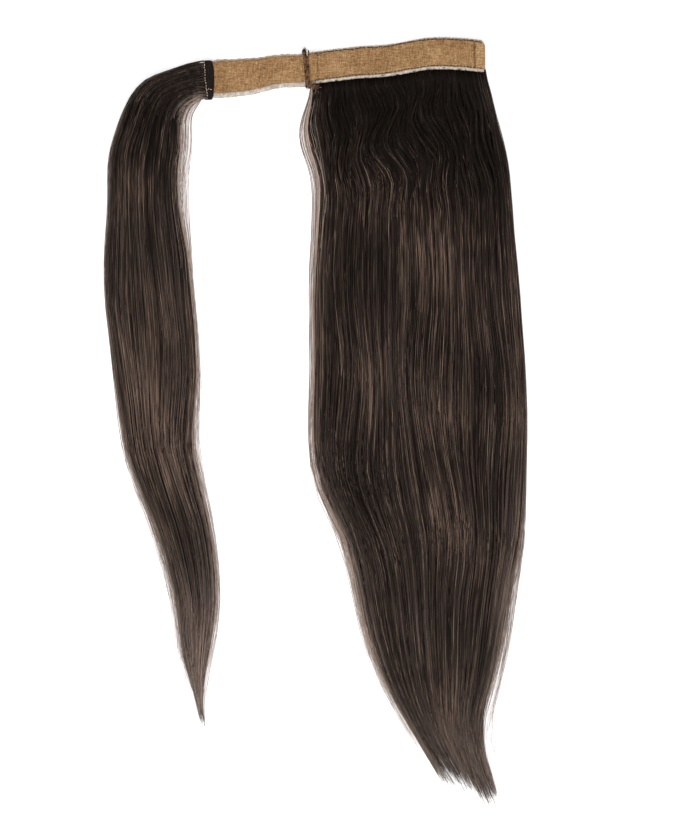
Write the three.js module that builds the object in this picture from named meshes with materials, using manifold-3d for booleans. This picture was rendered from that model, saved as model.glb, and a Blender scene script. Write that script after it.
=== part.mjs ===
// A wrap-around ponytail hairpiece, lying flat on its back: a hook-and-loop band, a wide fall of hair
// sewn under the base at its right, and one long lock of hair sewn to the end of its strap at the left,
// which the wearer winds round to hide the band.
// Millimetres, +Z up. +Y runs from the hair's tips towards the band, +X from the strap to the base.
// The origin is the middle of the base's flat back, where it lies against the wearer's own ponytail.

import * as THREE from "three";
import { mergeVertices } from "three/addons/utils/BufferGeometryUtils.js";
import Module from "manifold-3d";

const { clamp, degToRad, lerp, smoothstep } = THREE.MathUtils;

const wasm = await Module();
wasm.setup();

// The band
const tapeWidth = 20;
const loopTapeThickness = 1.6;
const hookTapeThickness = 1.2;
const baseLength = 124;
const strapLength = 66;
const hookShowsAbove = 1.2;
const hookShowsBelow = 1.8;
const strapHookShowsBelow = 3.2;
const hemThickness = 1.4;

// The thread wound round the joint of strap and base, and the dark band over the lock's root
const threadWidth = 4;
const threadThickness = 1;
const coverWidth = 8;
const coverThickness = 1.2;

// The sewn roots of the hair, and how far each lock is tucked into them
const weftThickness = 3.2;
const weftWidth = 17;
const lockWeftWidth = 7;
const rootTuck = 2;
const rootHeight = 0.85 * weftThickness;

// The hair
const hairLength = 510;
const hairThickness = 14;
const hairLocks = 12;
const wrapLength = 478;
const wrapWidth = 64;
const wrapThickness = 12;
const wrapLocks = 6;

// The waves where the fall leaves the wefts, and where they swell, start to fade and end, as shares of the
// hair's length. Its left and right edges wave this share of a wave before and after its middle
const waveLength = 66;
const waveHeight = 3.5;
const wavesFullAt = 0.04;
const wavesFadeFrom = 0.1;
const wavesEndAt = 0.24;
const wavePhase = 0.35;
const rootsLevelAt = 0.2;

// How far the locks of each hank reach, in shares of its length: the fall's are shortest at its left, and
// the wrapping lock's are longest in its middle
const fallLeftReach = 0.965;
const fallFullReachFrom = 0.6;
const fallReachSpread = 0.02;
const wrapReach = 0.985;
const wrapEdgeReach = 0.955;
const wrapReachSpread = 0.015;

// One lock's section: how high its sides stand and how far its flat underside reaches, in shares of its
// height and half its width, and how it sinks towards the edges of the hank
const crownSteps = 4;
const sideHeight = 0.3;
const undersideReach = 0.9;
const sunkTowardsEdge = 0.12;
const sunkAtEdge = 0.45;
const edgeSharpness = 8;

// How the locks lie in a hank: over each other, each a little wider or fuller than the next, from the low
// root to full height and on to a narrow tip
const lockOverlap = 1.25;
const widthSpread = 0.1;
const puffSpread = 0.08;
const fullHeightAt = 0.03;
const tipNarrowsFrom = 0.88;
const tipWidth = 0.3;

// The space kept between pieces that touch
const gap = 0.3;

// Sections along each tape and each lock
const tapeSteps = 16;
const lockSections = 26;
const sectionsGathered = 0.7;

// How the base waves along its length: rise is in tape widths
const baseRows = [
  { at: 0.0, rise: -0.31 },
  { at: 0.15, rise: -0.195 },
  { at: 0.3, rise: -0.09 },
  { at: 0.45, rise: -0.03 },
  { at: 0.6, rise: 0.14 },
  { at: 0.7, rise: 0.23 },
  { at: 0.8, rise: 0.215 },
  { at: 0.9, rise: 0.18 },
  { at: 1.0, rise: 0.1 },
];

// The strap from the joint to its end under the cover: rise and wide are in tape widths, and lift is a
// share of the weft's height, which carries the strap at both ends
const strapRows = [
  { at: 0.0, rise: -0.33, wide: 0.98, lift: 1 },
  { at: 0.08, rise: -0.35, wide: 0.97, lift: 0.9 },
  { at: 0.22, rise: -0.345, wide: 0.97, lift: 0.22 },
  { at: 0.32, rise: -0.37, wide: 1.0, lift: 0 },
  { at: 0.45, rise: -0.48, wide: 1.06, lift: 0 },
  { at: 0.6, rise: -0.55, wide: 1.12, lift: 0 },
  { at: 0.76, rise: -0.6, wide: 1.15, lift: 0 },
  { at: 0.88, rise: -0.64, wide: 1.15, lift: 1 },
  { at: 0.93, rise: -0.66, wide: 1.0, lift: 1 },
  { at: 1.0, rise: -0.68, wide: 1.0, lift: 1 },
];

// The fall of hair from the base's lower edge to its tips: at is a share of the hair's length, middle
// and wide are shares of the base's length, and thick is a share of the hair's thickness
const hairRows = [
  { at: 0.0, middle: 0.004, wide: 0.985, thick: 0.25 },
  { at: 0.023, middle: 0.0, wide: 1.06, thick: 0.6 },
  { at: 0.056, middle: -0.002, wide: 1.12, thick: 0.85 },
  { at: 0.098, middle: 0.036, wide: 1.15, thick: 0.97 },
  { at: 0.1325, middle: 0.077, wide: 1.125, thick: 1.0 },
  { at: 0.209, middle: 0.09, wide: 1.148, thick: 0.98 },
  { at: 0.292, middle: 0.095, wide: 1.2, thick: 0.92 },
  { at: 0.375, middle: 0.112, wide: 1.22, thick: 0.88 },
  { at: 0.459, middle: 0.119, wide: 1.24, thick: 0.86 },
  { at: 0.528, middle: 0.118, wide: 1.235, thick: 0.85 },
  { at: 0.57, middle: 0.136, wide: 1.18, thick: 0.84 },
  { at: 0.625, middle: 0.196, wide: 1.065, thick: 0.82 },
  { at: 0.681, middle: 0.208, wide: 0.955, thick: 0.78 },
  { at: 0.764, middle: 0.219, wide: 0.839, thick: 0.7 },
  { at: 0.847, middle: 0.242, wide: 0.638, thick: 0.58 },
  { at: 0.903, middle: 0.274, wide: 0.45, thick: 0.46 },
  { at: 0.9445, middle: 0.325, wide: 0.365, thick: 0.36 },
  { at: 0.979, middle: 0.435, wide: 0.24, thick: 0.24 },
  { at: 1.0, middle: 0.56, wide: 0.08, thick: 0.12 },
];

// The wrapping lock from the end of the strap to its tip: back runs against +X and down against +Y, both
// from the middle of its root and in wrap lengths. Turn is the way that the hair runs there, in degrees
// from -X towards -Y, wide is in wrap widths, and thick is a share of the lock's thickness
const wrapRows = [
  { at: 0.0, back: 0.0, down: 0.0, turn: 0, wide: 0.4, thick: 0.3 },
  { at: 0.009, back: 0.008, down: 0.003, turn: 15, wide: 0.436, thick: 0.5 },
  { at: 0.02, back: 0.019, down: 0.008, turn: 28, wide: 0.469, thick: 0.75 },
  { at: 0.037, back: 0.0335, down: 0.015, turn: 43, wide: 0.55, thick: 0.9 },
  { at: 0.054, back: 0.048, down: 0.024, turn: 53, wide: 0.661, thick: 0.95 },
  { at: 0.072, back: 0.0585, down: 0.038, turn: 62, wide: 0.744, thick: 1.0 },
  { at: 0.094, back: 0.065, down: 0.06, turn: 70, wide: 0.803, thick: 1.0 },
  { at: 0.123, back: 0.071, down: 0.088, turn: 75, wide: 0.87, thick: 1.0 },
  { at: 0.15, back: 0.0775, down: 0.114, turn: 82, wide: 0.905, thick: 1.0 },
  { at: 0.173, back: 0.0795, down: 0.137, turn: 88, wide: 0.89, thick: 1.0 },
  { at: 0.205, back: 0.079, down: 0.169, turn: 90, wide: 0.88, thick: 0.98 },
  { at: 0.256, back: 0.079, down: 0.22, turn: 90, wide: 0.925, thick: 0.97 },
  { at: 0.314, back: 0.079, down: 0.2785, turn: 90, wide: 0.99, thick: 0.95 },
  { at: 0.373, back: 0.0745, down: 0.337, turn: 90, wide: 1.0, thick: 0.93 },
  { at: 0.432, back: 0.069, down: 0.3955, turn: 90, wide: 0.985, thick: 0.91 },
  { at: 0.491, back: 0.0645, down: 0.454, turn: 90, wide: 0.95, thick: 0.9 },
  { at: 0.549, back: 0.063, down: 0.513, turn: 90, wide: 0.875, thick: 0.88 },
  { at: 0.579, back: 0.061, down: 0.542, turn: 90, wide: 0.835, thick: 0.87 },
  { at: 0.64, back: 0.0455, down: 0.6005, turn: 90, wide: 0.78, thick: 0.84 },
  { at: 0.701, back: 0.0275, down: 0.659, turn: 90, wide: 0.69, thick: 0.8 },
  { at: 0.761, back: 0.015, down: 0.718, turn: 90, wide: 0.615, thick: 0.74 },
  { at: 0.82, back: 0.0075, down: 0.7765, turn: 90, wide: 0.52, thick: 0.66 },
  { at: 0.879, back: 0.009, down: 0.835, turn: 90, wide: 0.42, thick: 0.54 },
  { at: 0.923, back: 0.007, down: 0.879, turn: 90, wide: 0.27, thick: 0.42 },
  { at: 0.96, back: 0.003, down: 0.916, turn: 90, wide: 0.15, thick: 0.3 },
  { at: 1.0, back: -0.008, down: 0.954, turn: 90, wide: 0.05, thick: 0.15 },
];

// The value of a table's column at a share along it, on a smooth curve through the rows
function smooth(rows, column, at) {
  const last = rows.length - 1;
  let row = 0;
  while (row < last - 1 && at > rows[row + 1].at) row++;
  const slope = (k) => {
    const before = rows[Math.max(k - 1, 0)];
    const after = rows[Math.min(k + 1, last)];
    return (after[column] - before[column]) / (after.at - before.at);
  };
  const from = rows[row];
  const to = rows[row + 1];
  const span = to.at - from.at;
  const u = clamp((at - from.at) / span, 0, 1);
  return (
    from[column] * (1 + 2 * u) * (1 - u) ** 2 +
    slope(row) * span * u * (1 - u) ** 2 +
    to[column] * u * u * (3 - 2 * u) -
    slope(row + 1) * span * u * u * (1 - u)
  );
}

// A closed surface through rings of the same number of points, capped at both ends
function loft(rings) {
  const around = rings[0].length;
  const middles = [rings[0], rings.at(-1)].map((ring) =>
    ring.reduce((sum, p) => sum.add(p), new THREE.Vector3()).divideScalar(around),
  );
  const points = [...rings.flat(), ...middles];
  const [first, last] = [points.length - 2, points.length - 1];
  const faces = [];
  for (let k = 0; k < around; k++) {
    const next = (k + 1) % around;
    for (let i = 0; i < rings.length - 1; i++) {
      const [a, b] = [i * around + k, i * around + next];
      faces.push(a, b, b + around, a, b + around, a + around);
    }
    const end = (rings.length - 1) * around;
    faces.push(first, next, k, last, end + k, end + next);
  }
  const geometry = new THREE.BufferGeometry();
  geometry.setAttribute("position", new THREE.Float32BufferAttribute(points.flatMap((p) => p.toArray()), 3));
  geometry.setIndex(faces);
  return facingOut(geometry);
}

// The geometry with its faces turned round if they point inwards
function facingOut(geometry) {
  const place = geometry.getAttribute("position");
  const index = geometry.index.array;
  const [a, b, c] = [new THREE.Vector3(), new THREE.Vector3(), new THREE.Vector3()];
  let volume = 0;
  for (let i = 0; i < index.length; i += 3) {
    a.fromBufferAttribute(place, index[i]);
    b.fromBufferAttribute(place, index[i + 1]);
    c.fromBufferAttribute(place, index[i + 2]);
    volume += a.dot(b.cross(c));
  }
  if (volume < 0) {
    for (let i = 0; i < index.length; i += 3) [index[i + 1], index[i + 2]] = [index[i + 2], index[i + 1]];
  }
  return geometry;
}

function solidOf(geometry) {
  const bare = geometry.clone();
  bare.deleteAttribute("normal");
  bare.deleteAttribute("uv");
  const merged = mergeVertices(bare);
  const mesh = new wasm.Mesh({
    numProp: 3,
    vertProperties: merged.attributes.position.array,
    triVerts: new Uint32Array(merged.index.array),
  });
  return new wasm.Manifold(mesh);
}

// Several geometries joined into one closed body
function fused(geometries) {
  const made = geometries.map(solidOf).reduce((whole, part) => whole.add(part)).getMesh();
  const geometry = new THREE.BufferGeometry();
  geometry.setAttribute("position", new THREE.BufferAttribute(made.vertProperties, 3));
  geometry.setIndex(new THREE.BufferAttribute(made.triVerts, 1));
  geometry.computeVertexNormals();
  return geometry;
}

// Heights above the surface that the piece lies on, from the weft up
const hookBottom = weftThickness + gap;
const loopBottom = hookBottom + hookTapeThickness + gap;
const loopTop = loopBottom + loopTapeThickness;

// Places along X: the base is centred on the origin, and the strap runs on to the left
const baseStart = -baseLength / 2;
const baseEnd = baseLength / 2;
const strapStart = baseStart - gap;
const strapEnd = strapStart - strapLength - coverWidth;

const baseX = (at) => lerp(baseStart, baseEnd, at);
const baseMiddle = (at) => smooth(baseRows, "rise", at) * tapeWidth;
const strapX = (at) => lerp(strapStart, strapEnd, at);
const strapMiddle = (at) => smooth(strapRows, "rise", at) * tapeWidth;
const strapHalf = (at) => (smooth(strapRows, "wide", at) * tapeWidth) / 2;
const strapLift = (at) => Math.max(smooth(strapRows, "lift", at), 0) * hookBottom;

// A flat tape: place(at) gives its x, lower and upper y and bottom z at each share of its length
function tape(place, thickness, from, to, steps) {
  const rings = [];
  for (let i = 0; i <= steps; i++) {
    const { x, low, high, bottom } = place(lerp(from, to, i / steps));
    const top = bottom + thickness;
    rings.push([
      new THREE.Vector3(x, low, bottom),
      new THREE.Vector3(x, high, bottom),
      new THREE.Vector3(x, high, top),
      new THREE.Vector3(x, low, top),
    ]);
  }
  return loft(rings);
}

function baseLoopTape() {
  const half = tapeWidth / 2;
  const place = (at) => ({
    x: baseX(at),
    low: baseMiddle(at) - half,
    high: baseMiddle(at) + half,
    bottom: loopBottom,
  });
  // The hem: the tape's end turned down over the end of the hook tape
  const hem = new THREE.BoxGeometry(hemThickness, tapeWidth, loopTop - hookBottom);
  hem.translate(baseEnd + hemThickness / 2, baseMiddle(1), (loopTop + hookBottom) / 2);
  return fused([tape(place, loopTapeThickness, 0, 1, tapeSteps), hem]);
}

const baseHookLow = (at) => baseMiddle(at) - tapeWidth / 2 - hookShowsBelow;

function baseHookTape() {
  const place = (at) => ({
    x: baseX(at),
    low: baseHookLow(at),
    high: baseMiddle(at) + tapeWidth / 2 + hookShowsAbove,
    bottom: hookBottom,
  });
  return tape(place, hookTapeThickness, 0, 1 - gap / baseLength, tapeSteps);
}

function strapLoopTape() {
  const place = (at) => ({
    x: strapX(at),
    low: strapMiddle(at) - strapHalf(at),
    high: strapMiddle(at) + strapHalf(at),
    bottom: strapLift(at) + hookTapeThickness + gap,
  });
  return tape(place, loopTapeThickness, 0, 1, tapeSteps);
}

function strapHookTape() {
  const place = (at) => ({
    x: strapX(at),
    low: strapMiddle(at) - strapHalf(at) - strapHookShowsBelow,
    high: strapMiddle(at) + strapHalf(at) + hookShowsAbove,
    bottom: strapLift(at),
  });
  return tape(place, hookTapeThickness, 0, 1, tapeSteps);
}

// A flat shape drawn in Y and Z, as thick as it is given along X and centred on x
function alongX(shape, thickness, x) {
  const solid = new THREE.ExtrudeGeometry(shape, { depth: thickness, bevelEnabled: false });
  solid.applyMatrix4(new THREE.Matrix4().set(0, 0, 1, 0, 1, 0, 0, 0, 0, 1, 0, 0, 0, 0, 0, 1));
  return solid.translate(x - thickness / 2, 0, 0);
}

const shapeThrough = (corners) => new THREE.Shape(corners.map(([y, z]) => new THREE.Vector2(y, z)));

// The thread wound round the tapes, over the joint of strap and base
function jointThread() {
  const low = Math.min(baseHookLow(0), strapMiddle(0) - strapHalf(0) - strapHookShowsBelow) - gap;
  const high = Math.max(baseMiddle(0) + tapeWidth / 2, strapMiddle(0) + strapHalf(0)) + hookShowsAbove + gap;
  const bottom = strapLift(threadWidth / (strapLength + coverWidth)) - gap;
  const top = loopTop + gap;
  const out = threadThickness;
  const ring = shapeThrough([
    [low - out, bottom - out],
    [high + out, bottom - out],
    [high + out, top + out],
    [low - out, top + out],
  ]);
  ring.holes.push(
    shapeThrough([
      [low, bottom],
      [low, top],
      [high, top],
      [high, bottom],
    ]),
  );
  const clearOfWeft = rootX(-1) - gap - threadWidth / 2;
  return alongX(ring, threadWidth, Math.min(baseStart, clearOfWeft));
}

// The end of the strap, over the lock's root
const coverMiddle = strapEnd + coverWidth / 2;
const coverShare = (strapStart - coverMiddle) / (strapLength + coverWidth);
const wrapRootY = strapMiddle(coverShare) + (hookShowsAbove - strapHookShowsBelow) / 2;
const wrapRootX = strapEnd - gap;
const wrapRootHalf = (smooth(wrapRows, "wide", 0) * wrapWidth) / 2;

// The dark band folded over the end of the strap, down to the surface on both sides
function lockCover() {
  const strapSides = [strapStart - strapLength, strapEnd].map((x) => {
    const at = (strapStart - x) / (strapLength + coverWidth);
    const middle = strapMiddle(at);
    return [middle - strapHalf(at) - strapHookShowsBelow, middle + strapHalf(at) + hookShowsAbove];
  });
  const low = Math.min(wrapRootY - wrapRootHalf, ...strapSides.map((side) => side[0])) - gap;
  const high = Math.max(wrapRootY + wrapRootHalf, ...strapSides.map((side) => side[1])) + gap;
  const top = loopTop + gap;
  const out = coverThickness;
  const channel = shapeThrough([
    [low - out, 0],
    [low - out, top + out],
    [high + out, top + out],
    [high + out, 0],
    [high, 0],
    [high, top],
    [low, top],
    [low, 0],
  ]);
  return alongX(channel, coverWidth - 2 * gap, coverMiddle);
}

// A number between -1 and 1 that is the same each time for the same lock
const spread = (lock) => Math.sin(12.9898 * (lock + 1)) * Math.cos(78.233 * (lock + 1));

// The fall's root along the base's lower edge, for a side from -1 at its left to 1 at its right
function rootX(side) {
  return (smooth(hairRows, "middle", 0) + (side * smooth(hairRows, "wide", 0)) / 2) * baseLength;
}

function rootY(side) {
  return baseHookLow((rootX(side) - baseStart) / baseLength);
}

// The fall's place for a share along it and a side: it waves where it leaves the wefts, and hangs straight
// from there on
function hairPlace(at, side) {
  const level = smoothstep(at, 0, rootsLevelAt);
  const phase = wavePhase * side;
  const turns = (at * hairLength) / waveLength + phase;
  const wave = Math.sin(2 * Math.PI * turns) - Math.sin(2 * Math.PI * phase);
  const fading = smoothstep(at, 0, wavesFullAt) * (1 - smoothstep(at, wavesFadeFrom, wavesEndAt));
  const across = smooth(hairRows, "middle", at) + (side * smooth(hairRows, "wide", at)) / 2;
  const start = lerp(rootY(side), rootY(0), level);
  return {
    x: across * baseLength + wave * fading * waveHeight * (1 - side * side),
    y: start - at * hairLength,
  };
}

// The wrapping lock's place in the same shares, on sections square to the way that its hair runs
function wrapPlace(at, side) {
  const turn = degToRad(smooth(wrapRows, "turn", at));
  const half = (side * smooth(wrapRows, "wide", at) * wrapWidth) / 2;
  return {
    x: wrapRootX - smooth(wrapRows, "back", at) * wrapLength + half * Math.sin(turn),
    y: wrapRootY - smooth(wrapRows, "down", at) * wrapLength - half * Math.cos(turn),
  };
}

// Shares along a lock for its sections, closer together near the root and the tip than between them
function stations(count) {
  const shares = [];
  for (let i = 0; i <= count; i++) {
    const even = i / count;
    shares.push(lerp(even, smoothstep(even, 0, 1), sectionsGathered));
  }
  return shares;
}

// One lock: a section with a flat underside and a crowned top, swept along its hank to its own tip. The
// first section is tucked into the sewn root
function lock({ rows, place, thickness, tuck }, side, half, reach, puff) {
  const rings = stations(lockSections).map((along) => {
    const at = along * reach;
    const narrow = lerp(1, tipWidth, smoothstep(along, tipNarrowsFrom, 1));
    const fullness = 1 - sunkTowardsEdge * side * side - sunkAtEdge * side ** edgeSharpness;
    const full = smooth(rows, "thick", at) * thickness * fullness * puff;
    const height = lerp(rootHeight, full, smoothstep(along, 0, fullHeightAt));
    const point = (across, up) => {
      const spot = place(at, clamp(side + across * half * narrow, -1, 1));
      return new THREE.Vector3(spot.x, spot.y, up * height);
    };
    const ring = [point(-undersideReach, 0), point(undersideReach, 0)];
    for (let k = 0; k <= crownSteps; k++) {
      const turn = (k / crownSteps) * Math.PI;
      ring.push(point(Math.cos(turn), lerp(sideHeight, 1, Math.sin(turn))));
    }
    return ring;
  });
  return loft([rings[0].map((point) => point.clone().add(tuck)), ...rings]);
}

// All the locks of a hank, side by side and a little over each other, some wider or fuller than others
function hank(form, count, reachOf) {
  const locks = [];
  for (let k = 0; k < count; k++) {
    const half = (lockOverlap / count) * (1 + widthSpread * spread(k + count));
    const side = lerp(-1 + half, 1 - half, k / (count - 1));
    const puff = 1 + puffSpread * spread(k);
    locks.push(lock(form, side, half, reachOf(side, k), puff));
  }
  return locks;
}

function fallOfHair() {
  const reachOf = (side, k) => {
    const longest = lerp(fallLeftReach, 1, smoothstep(side, -1, fallFullReachFrom));
    return longest - fallReachSpread * Math.abs(spread(k));
  };
  const place = (at) => ({
    x: baseX(at),
    low: baseHookLow(at),
    high: baseHookLow(at) + weftWidth,
    bottom: 0,
  });
  const share = (side) => (rootX(side) - baseStart) / baseLength;
  const weft = tape(place, weftThickness, share(-1), share(1), tapeSteps);
  const tuck = new THREE.Vector3(0, rootTuck, 0);
  const form = { rows: hairRows, place: hairPlace, thickness: hairThickness, tuck };
  return fused([weft, ...hank(form, hairLocks, reachOf)]);
}

function wrappingLock() {
  const reachOf = (side, k) => lerp(wrapReach, wrapEdgeReach, Math.abs(side)) - wrapReachSpread * spread(k);
  const weft = new THREE.BoxGeometry(lockWeftWidth, 2 * wrapRootHalf, weftThickness);
  weft.translate(wrapRootX + lockWeftWidth / 2, wrapRootY, weftThickness / 2);
  const tuck = new THREE.Vector3(rootTuck, 0, 0);
  const form = { rows: wrapRows, place: wrapPlace, thickness: wrapThickness, tuck };
  return fused([weft, ...hank(form, wrapLocks, reachOf)]);
}

function piece(name, geometry, finish) {
  const material = new THREE.MeshStandardMaterial({ ...finish, metalness: 0 });
  const mesh = new THREE.Mesh(geometry, material);
  mesh.name = name;
  return mesh;
}

const hairpiece = new THREE.Group();
hairpiece.name = "ponytail_hairpiece";

const tanLoop = { color: 0xa07a54, roughness: 0.95 };
const clearHook = { color: 0xcfc6bb, roughness: 0.5 };
const darkThread = { color: 0x3a2a20, roughness: 0.85 };
const brownHair = { color: 0x352b27, roughness: 0.45 };

hairpiece.add(
  piece("base_loop_tape", baseLoopTape(), tanLoop),
  piece("base_hook_tape", baseHookTape(), clearHook),
  piece("strap_loop_tape", strapLoopTape(), tanLoop),
  piece("strap_hook_tape", strapHookTape(), clearHook),
  piece("joint_thread", jointThread(), darkThread),
  piece("lock_cover", lockCover(), darkThread),
  piece("fall_of_hair", fallOfHair(), brownHair),
  piece("wrapping_lock", wrappingLock(), brownHair),
);

export default hairpiece;
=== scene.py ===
# %% [markdown]
# # A wrap-around ponytail hairpiece
#
# This lesson dresses the plain solids of a false ponytail that lies flat on a white table. On the real
# piece a band of hook-and-loop tape carries two hanks of hair: a wide fall sewn under the base, and one
# long lock sewn to the end of the strap, which is wound round at the end to hide the band.
#
# Hair is the hard part. It could be a single body with a streaked finish, but then its outline would be
# hard and its ends would look cut from card. Here some thousands of thin closed tubes lie over a dark
# body, so the waves, the partings and the thin tips are real shapes.

# %% Load the frame
import math

import bpy
import numpy as np
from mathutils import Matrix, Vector
from mathutils.bvhtree import BVHTree


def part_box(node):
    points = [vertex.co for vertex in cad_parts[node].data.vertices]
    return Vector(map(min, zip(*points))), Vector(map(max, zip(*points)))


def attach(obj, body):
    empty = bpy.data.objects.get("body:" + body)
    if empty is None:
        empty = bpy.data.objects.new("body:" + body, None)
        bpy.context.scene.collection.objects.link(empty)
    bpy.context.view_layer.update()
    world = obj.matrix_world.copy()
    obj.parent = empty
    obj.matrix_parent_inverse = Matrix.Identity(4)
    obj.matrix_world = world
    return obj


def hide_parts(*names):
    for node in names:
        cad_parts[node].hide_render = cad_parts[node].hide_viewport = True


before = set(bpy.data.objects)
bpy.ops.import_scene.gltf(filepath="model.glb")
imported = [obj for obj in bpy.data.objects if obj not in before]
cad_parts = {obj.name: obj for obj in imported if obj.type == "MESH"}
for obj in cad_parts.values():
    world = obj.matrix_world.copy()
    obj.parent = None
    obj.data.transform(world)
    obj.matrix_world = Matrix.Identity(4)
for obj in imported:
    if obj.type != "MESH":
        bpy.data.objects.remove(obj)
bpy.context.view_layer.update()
MM = 0.001
dice = np.random.default_rng(20)

# %% [markdown]
# ## The table, the light and the camera
#
# The picture looks straight down. A camera that turns about no axis looks down in Blender, so it only
# needs its place. One picture pixel is 0.7 mm on the table, and the lens follows from that and from the
# camera's height.

# %% Camera
PIXEL = 0.7 * MM
PICTURE_WIDTH = 700
PICTURE_HEIGHT = 840
ORIGIN_PIXEL = (397, 60)
CAMERA_HEIGHT = 1.6
SENSOR_HEIGHT = 36.0


def on_table(column, row):
    """The place on the table under a pixel of the picture."""
    return (column - ORIGIN_PIXEL[0]) * PIXEL, (ORIGIN_PIXEL[1] - row) * PIXEL


camera = bpy.data.objects.new("camera", bpy.data.cameras.new("camera"))
bpy.context.scene.collection.objects.link(camera)
centre_x, centre_y = on_table(PICTURE_WIDTH / 2, PICTURE_HEIGHT / 2)
camera.location = (centre_x, centre_y, CAMERA_HEIGHT)
camera.data.sensor_fit = "VERTICAL"
camera.data.sensor_height = SENSOR_HEIGHT
camera.data.lens = SENSOR_HEIGHT * CAMERA_HEIGHT / (PICTURE_HEIGHT * PIXEL)
bpy.context.scene.camera = camera
print("lens, mm:", round(camera.data.lens, 1))

# %% [markdown]
# The table is white and the light soft, so that almost no shadow shows. A little light of its own keeps
# the table white beside the dark hair. The lamp that makes the gloss is narrower and stands beyond the
# tips, so the hair that rises out of the band turns away from it and stays dark.

# %% Helpers for the table and the lamps
WHITE = (1, 1, 1, 1)
TABLE_WHITE = (0.9, 0.9, 0.9, 1)
TABLE_GLOW = 0.42


def lamp(name, place, aim, size, power):
    """A square area lamp at a place, turned to an aim point."""
    light = bpy.data.lights.new(name, "AREA")
    light.size = size
    light.energy = power
    made = bpy.data.objects.new(name, light)
    made.location = place
    made.rotation_euler = (Vector(aim) - Vector(place)).to_track_quat("-Z", "Y").to_euler()
    bpy.context.scene.collection.objects.link(made)
    print(f"{name}: {size} m wide, {power} W")


def table_finish():
    """A matt white that glows a little."""
    finish = bpy.data.materials.new("white_table")
    finish.use_nodes = True
    shader = finish.node_tree.nodes["Principled BSDF"]
    shader.inputs["Base Color"].default_value = TABLE_WHITE
    shader.inputs["Roughness"].default_value = 0.9
    shader.inputs["Specular IOR Level"].default_value = 0.0
    shader.inputs["Emission Color"].default_value = WHITE
    shader.inputs["Emission Strength"].default_value = TABLE_GLOW
    return finish


# %% Table, surroundings and lamps
TABLE_SIZE = 30.0
TABLE_DEPTH = 0.2 * MM
SQUARE = ((-0.5, -0.5), (0.5, -0.5), (0.5, 0.5), (-0.5, 0.5))
AROUND_STRENGTH = 0.55

table_mesh = bpy.data.meshes.new("table")
table_corners = [(x * TABLE_SIZE, y * TABLE_SIZE, -TABLE_DEPTH) for x, y in SQUARE]
table_mesh.from_pydata(table_corners, [], [(0, 1, 2, 3)])
table_mesh.materials.append(table_finish())
table = bpy.data.objects.new("table", table_mesh)
bpy.context.scene.collection.objects.link(table)

world = bpy.data.worlds.new("soft_white")
world.use_nodes = True
world.node_tree.nodes["Background"].inputs["Color"].default_value = WHITE
world.node_tree.nodes["Background"].inputs["Strength"].default_value = AROUND_STRENGTH
bpy.context.scene.world = world
bpy.context.scene.view_settings.view_transform = "Standard"

hair_middle = (centre_x, centre_y, 0)
lamp("gloss_lamp", (0.1, -1.15, 1.5), hair_middle, 0.5, 16)
lamp("left_lamp", (-1.3, -0.1, 1.1), hair_middle, 0.9, 7)

# %% [markdown]
# ## Tools for making meshes
#
# Two shapes make up everything here. A loft joins a row of rings into one closed skin, which suits tapes
# and bodies. A bundle of tubes is a loft for each path, made for thousands of paths at once with numpy,
# because a Python loop over every strand would be slow.

# %% Closed meshes from arrays
def piece_from(name, mesh, finish, replaced=()):
    """Links a finished mesh as a piece of the hairpiece."""
    mesh.polygons.foreach_set("use_smooth", np.ones(len(mesh.polygons), bool))
    mesh.materials.append(finish)
    piece = bpy.data.objects.new(name, mesh)
    bpy.context.scene.collection.objects.link(piece)
    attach(piece, "root")
    if replaced:
        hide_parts(*replaced)
    triangles = sum(len(p.vertices) - 2 for p in mesh.polygons)
    print(f"{name}: {triangles} triangles")
    return piece


def loft_mesh(name, rings):
    """A closed skin through rings given as an array of (ring, point, xyz)."""
    count, around, _ = rings.shape
    index = np.arange(count * around).reshape(count, around)
    beside = np.roll(index, -1, axis=1)
    sides = np.stack([index[:-1], beside[:-1], beside[1:], index[1:]], axis=-1).reshape(-1, 4)
    faces = sides.tolist() + [index[0][::-1].tolist(), index[-1].tolist()]
    mesh = bpy.data.meshes.new(name)
    mesh.from_pydata(rings.reshape(-1, 3).tolist(), [], faces)
    return mesh


def tubes_mesh(name, paths, radii, sides=3, reference=(0, 0, 1), columns=False):
    """Closed tubes along paths given as (tube, point, xyz), with a radius at each point."""
    count, points, _ = paths.shape
    run = np.gradient(paths, axis=1)
    run /= np.linalg.norm(run, axis=-1, keepdims=True)
    across = np.cross(run, np.array(reference, float))
    across /= np.linalg.norm(across, axis=-1, keepdims=True)
    lift = np.cross(across, run)
    turn = np.arange(sides) / sides * 2 * math.pi + math.pi / 2
    ring = across[:, :, None] * np.cos(turn)[:, None] + lift[:, :, None] * np.sin(turn)[:, None]
    corners = paths[:, :, None] + ring * radii[:, :, None, None]

    index = np.arange(count * points * sides).reshape(count, points, sides)
    beside = np.roll(index, -1, axis=2)
    walls = np.stack([index[:, :-1], index[:, 1:], beside[:, 1:], beside[:, :-1]], axis=-1)
    ends = np.stack([index[:, 0], index[:, -1, ::-1]], axis=1)
    wall_count = walls.size // 4
    loop_starts = np.concatenate([np.arange(wall_count) * 4, wall_count * 4 + np.arange(count * 2) * sides])

    mesh = bpy.data.meshes.new(name)
    mesh.vertices.add(corners.size // 3)
    mesh.vertices.foreach_set("co", corners.astype(np.float32).ravel())
    mesh.loops.add(walls.size + ends.size)
    mesh.loops.foreach_set("vertex_index", np.concatenate([walls.ravel(), ends.ravel()]).astype(np.int32))
    mesh.polygons.add(len(loop_starts))
    mesh.polygons.foreach_set("loop_start", loop_starts.astype(np.int32))
    if columns:
        add_columns(mesh, count, points, sides)
    mesh.update(calc_edges=True)
    return mesh


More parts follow.
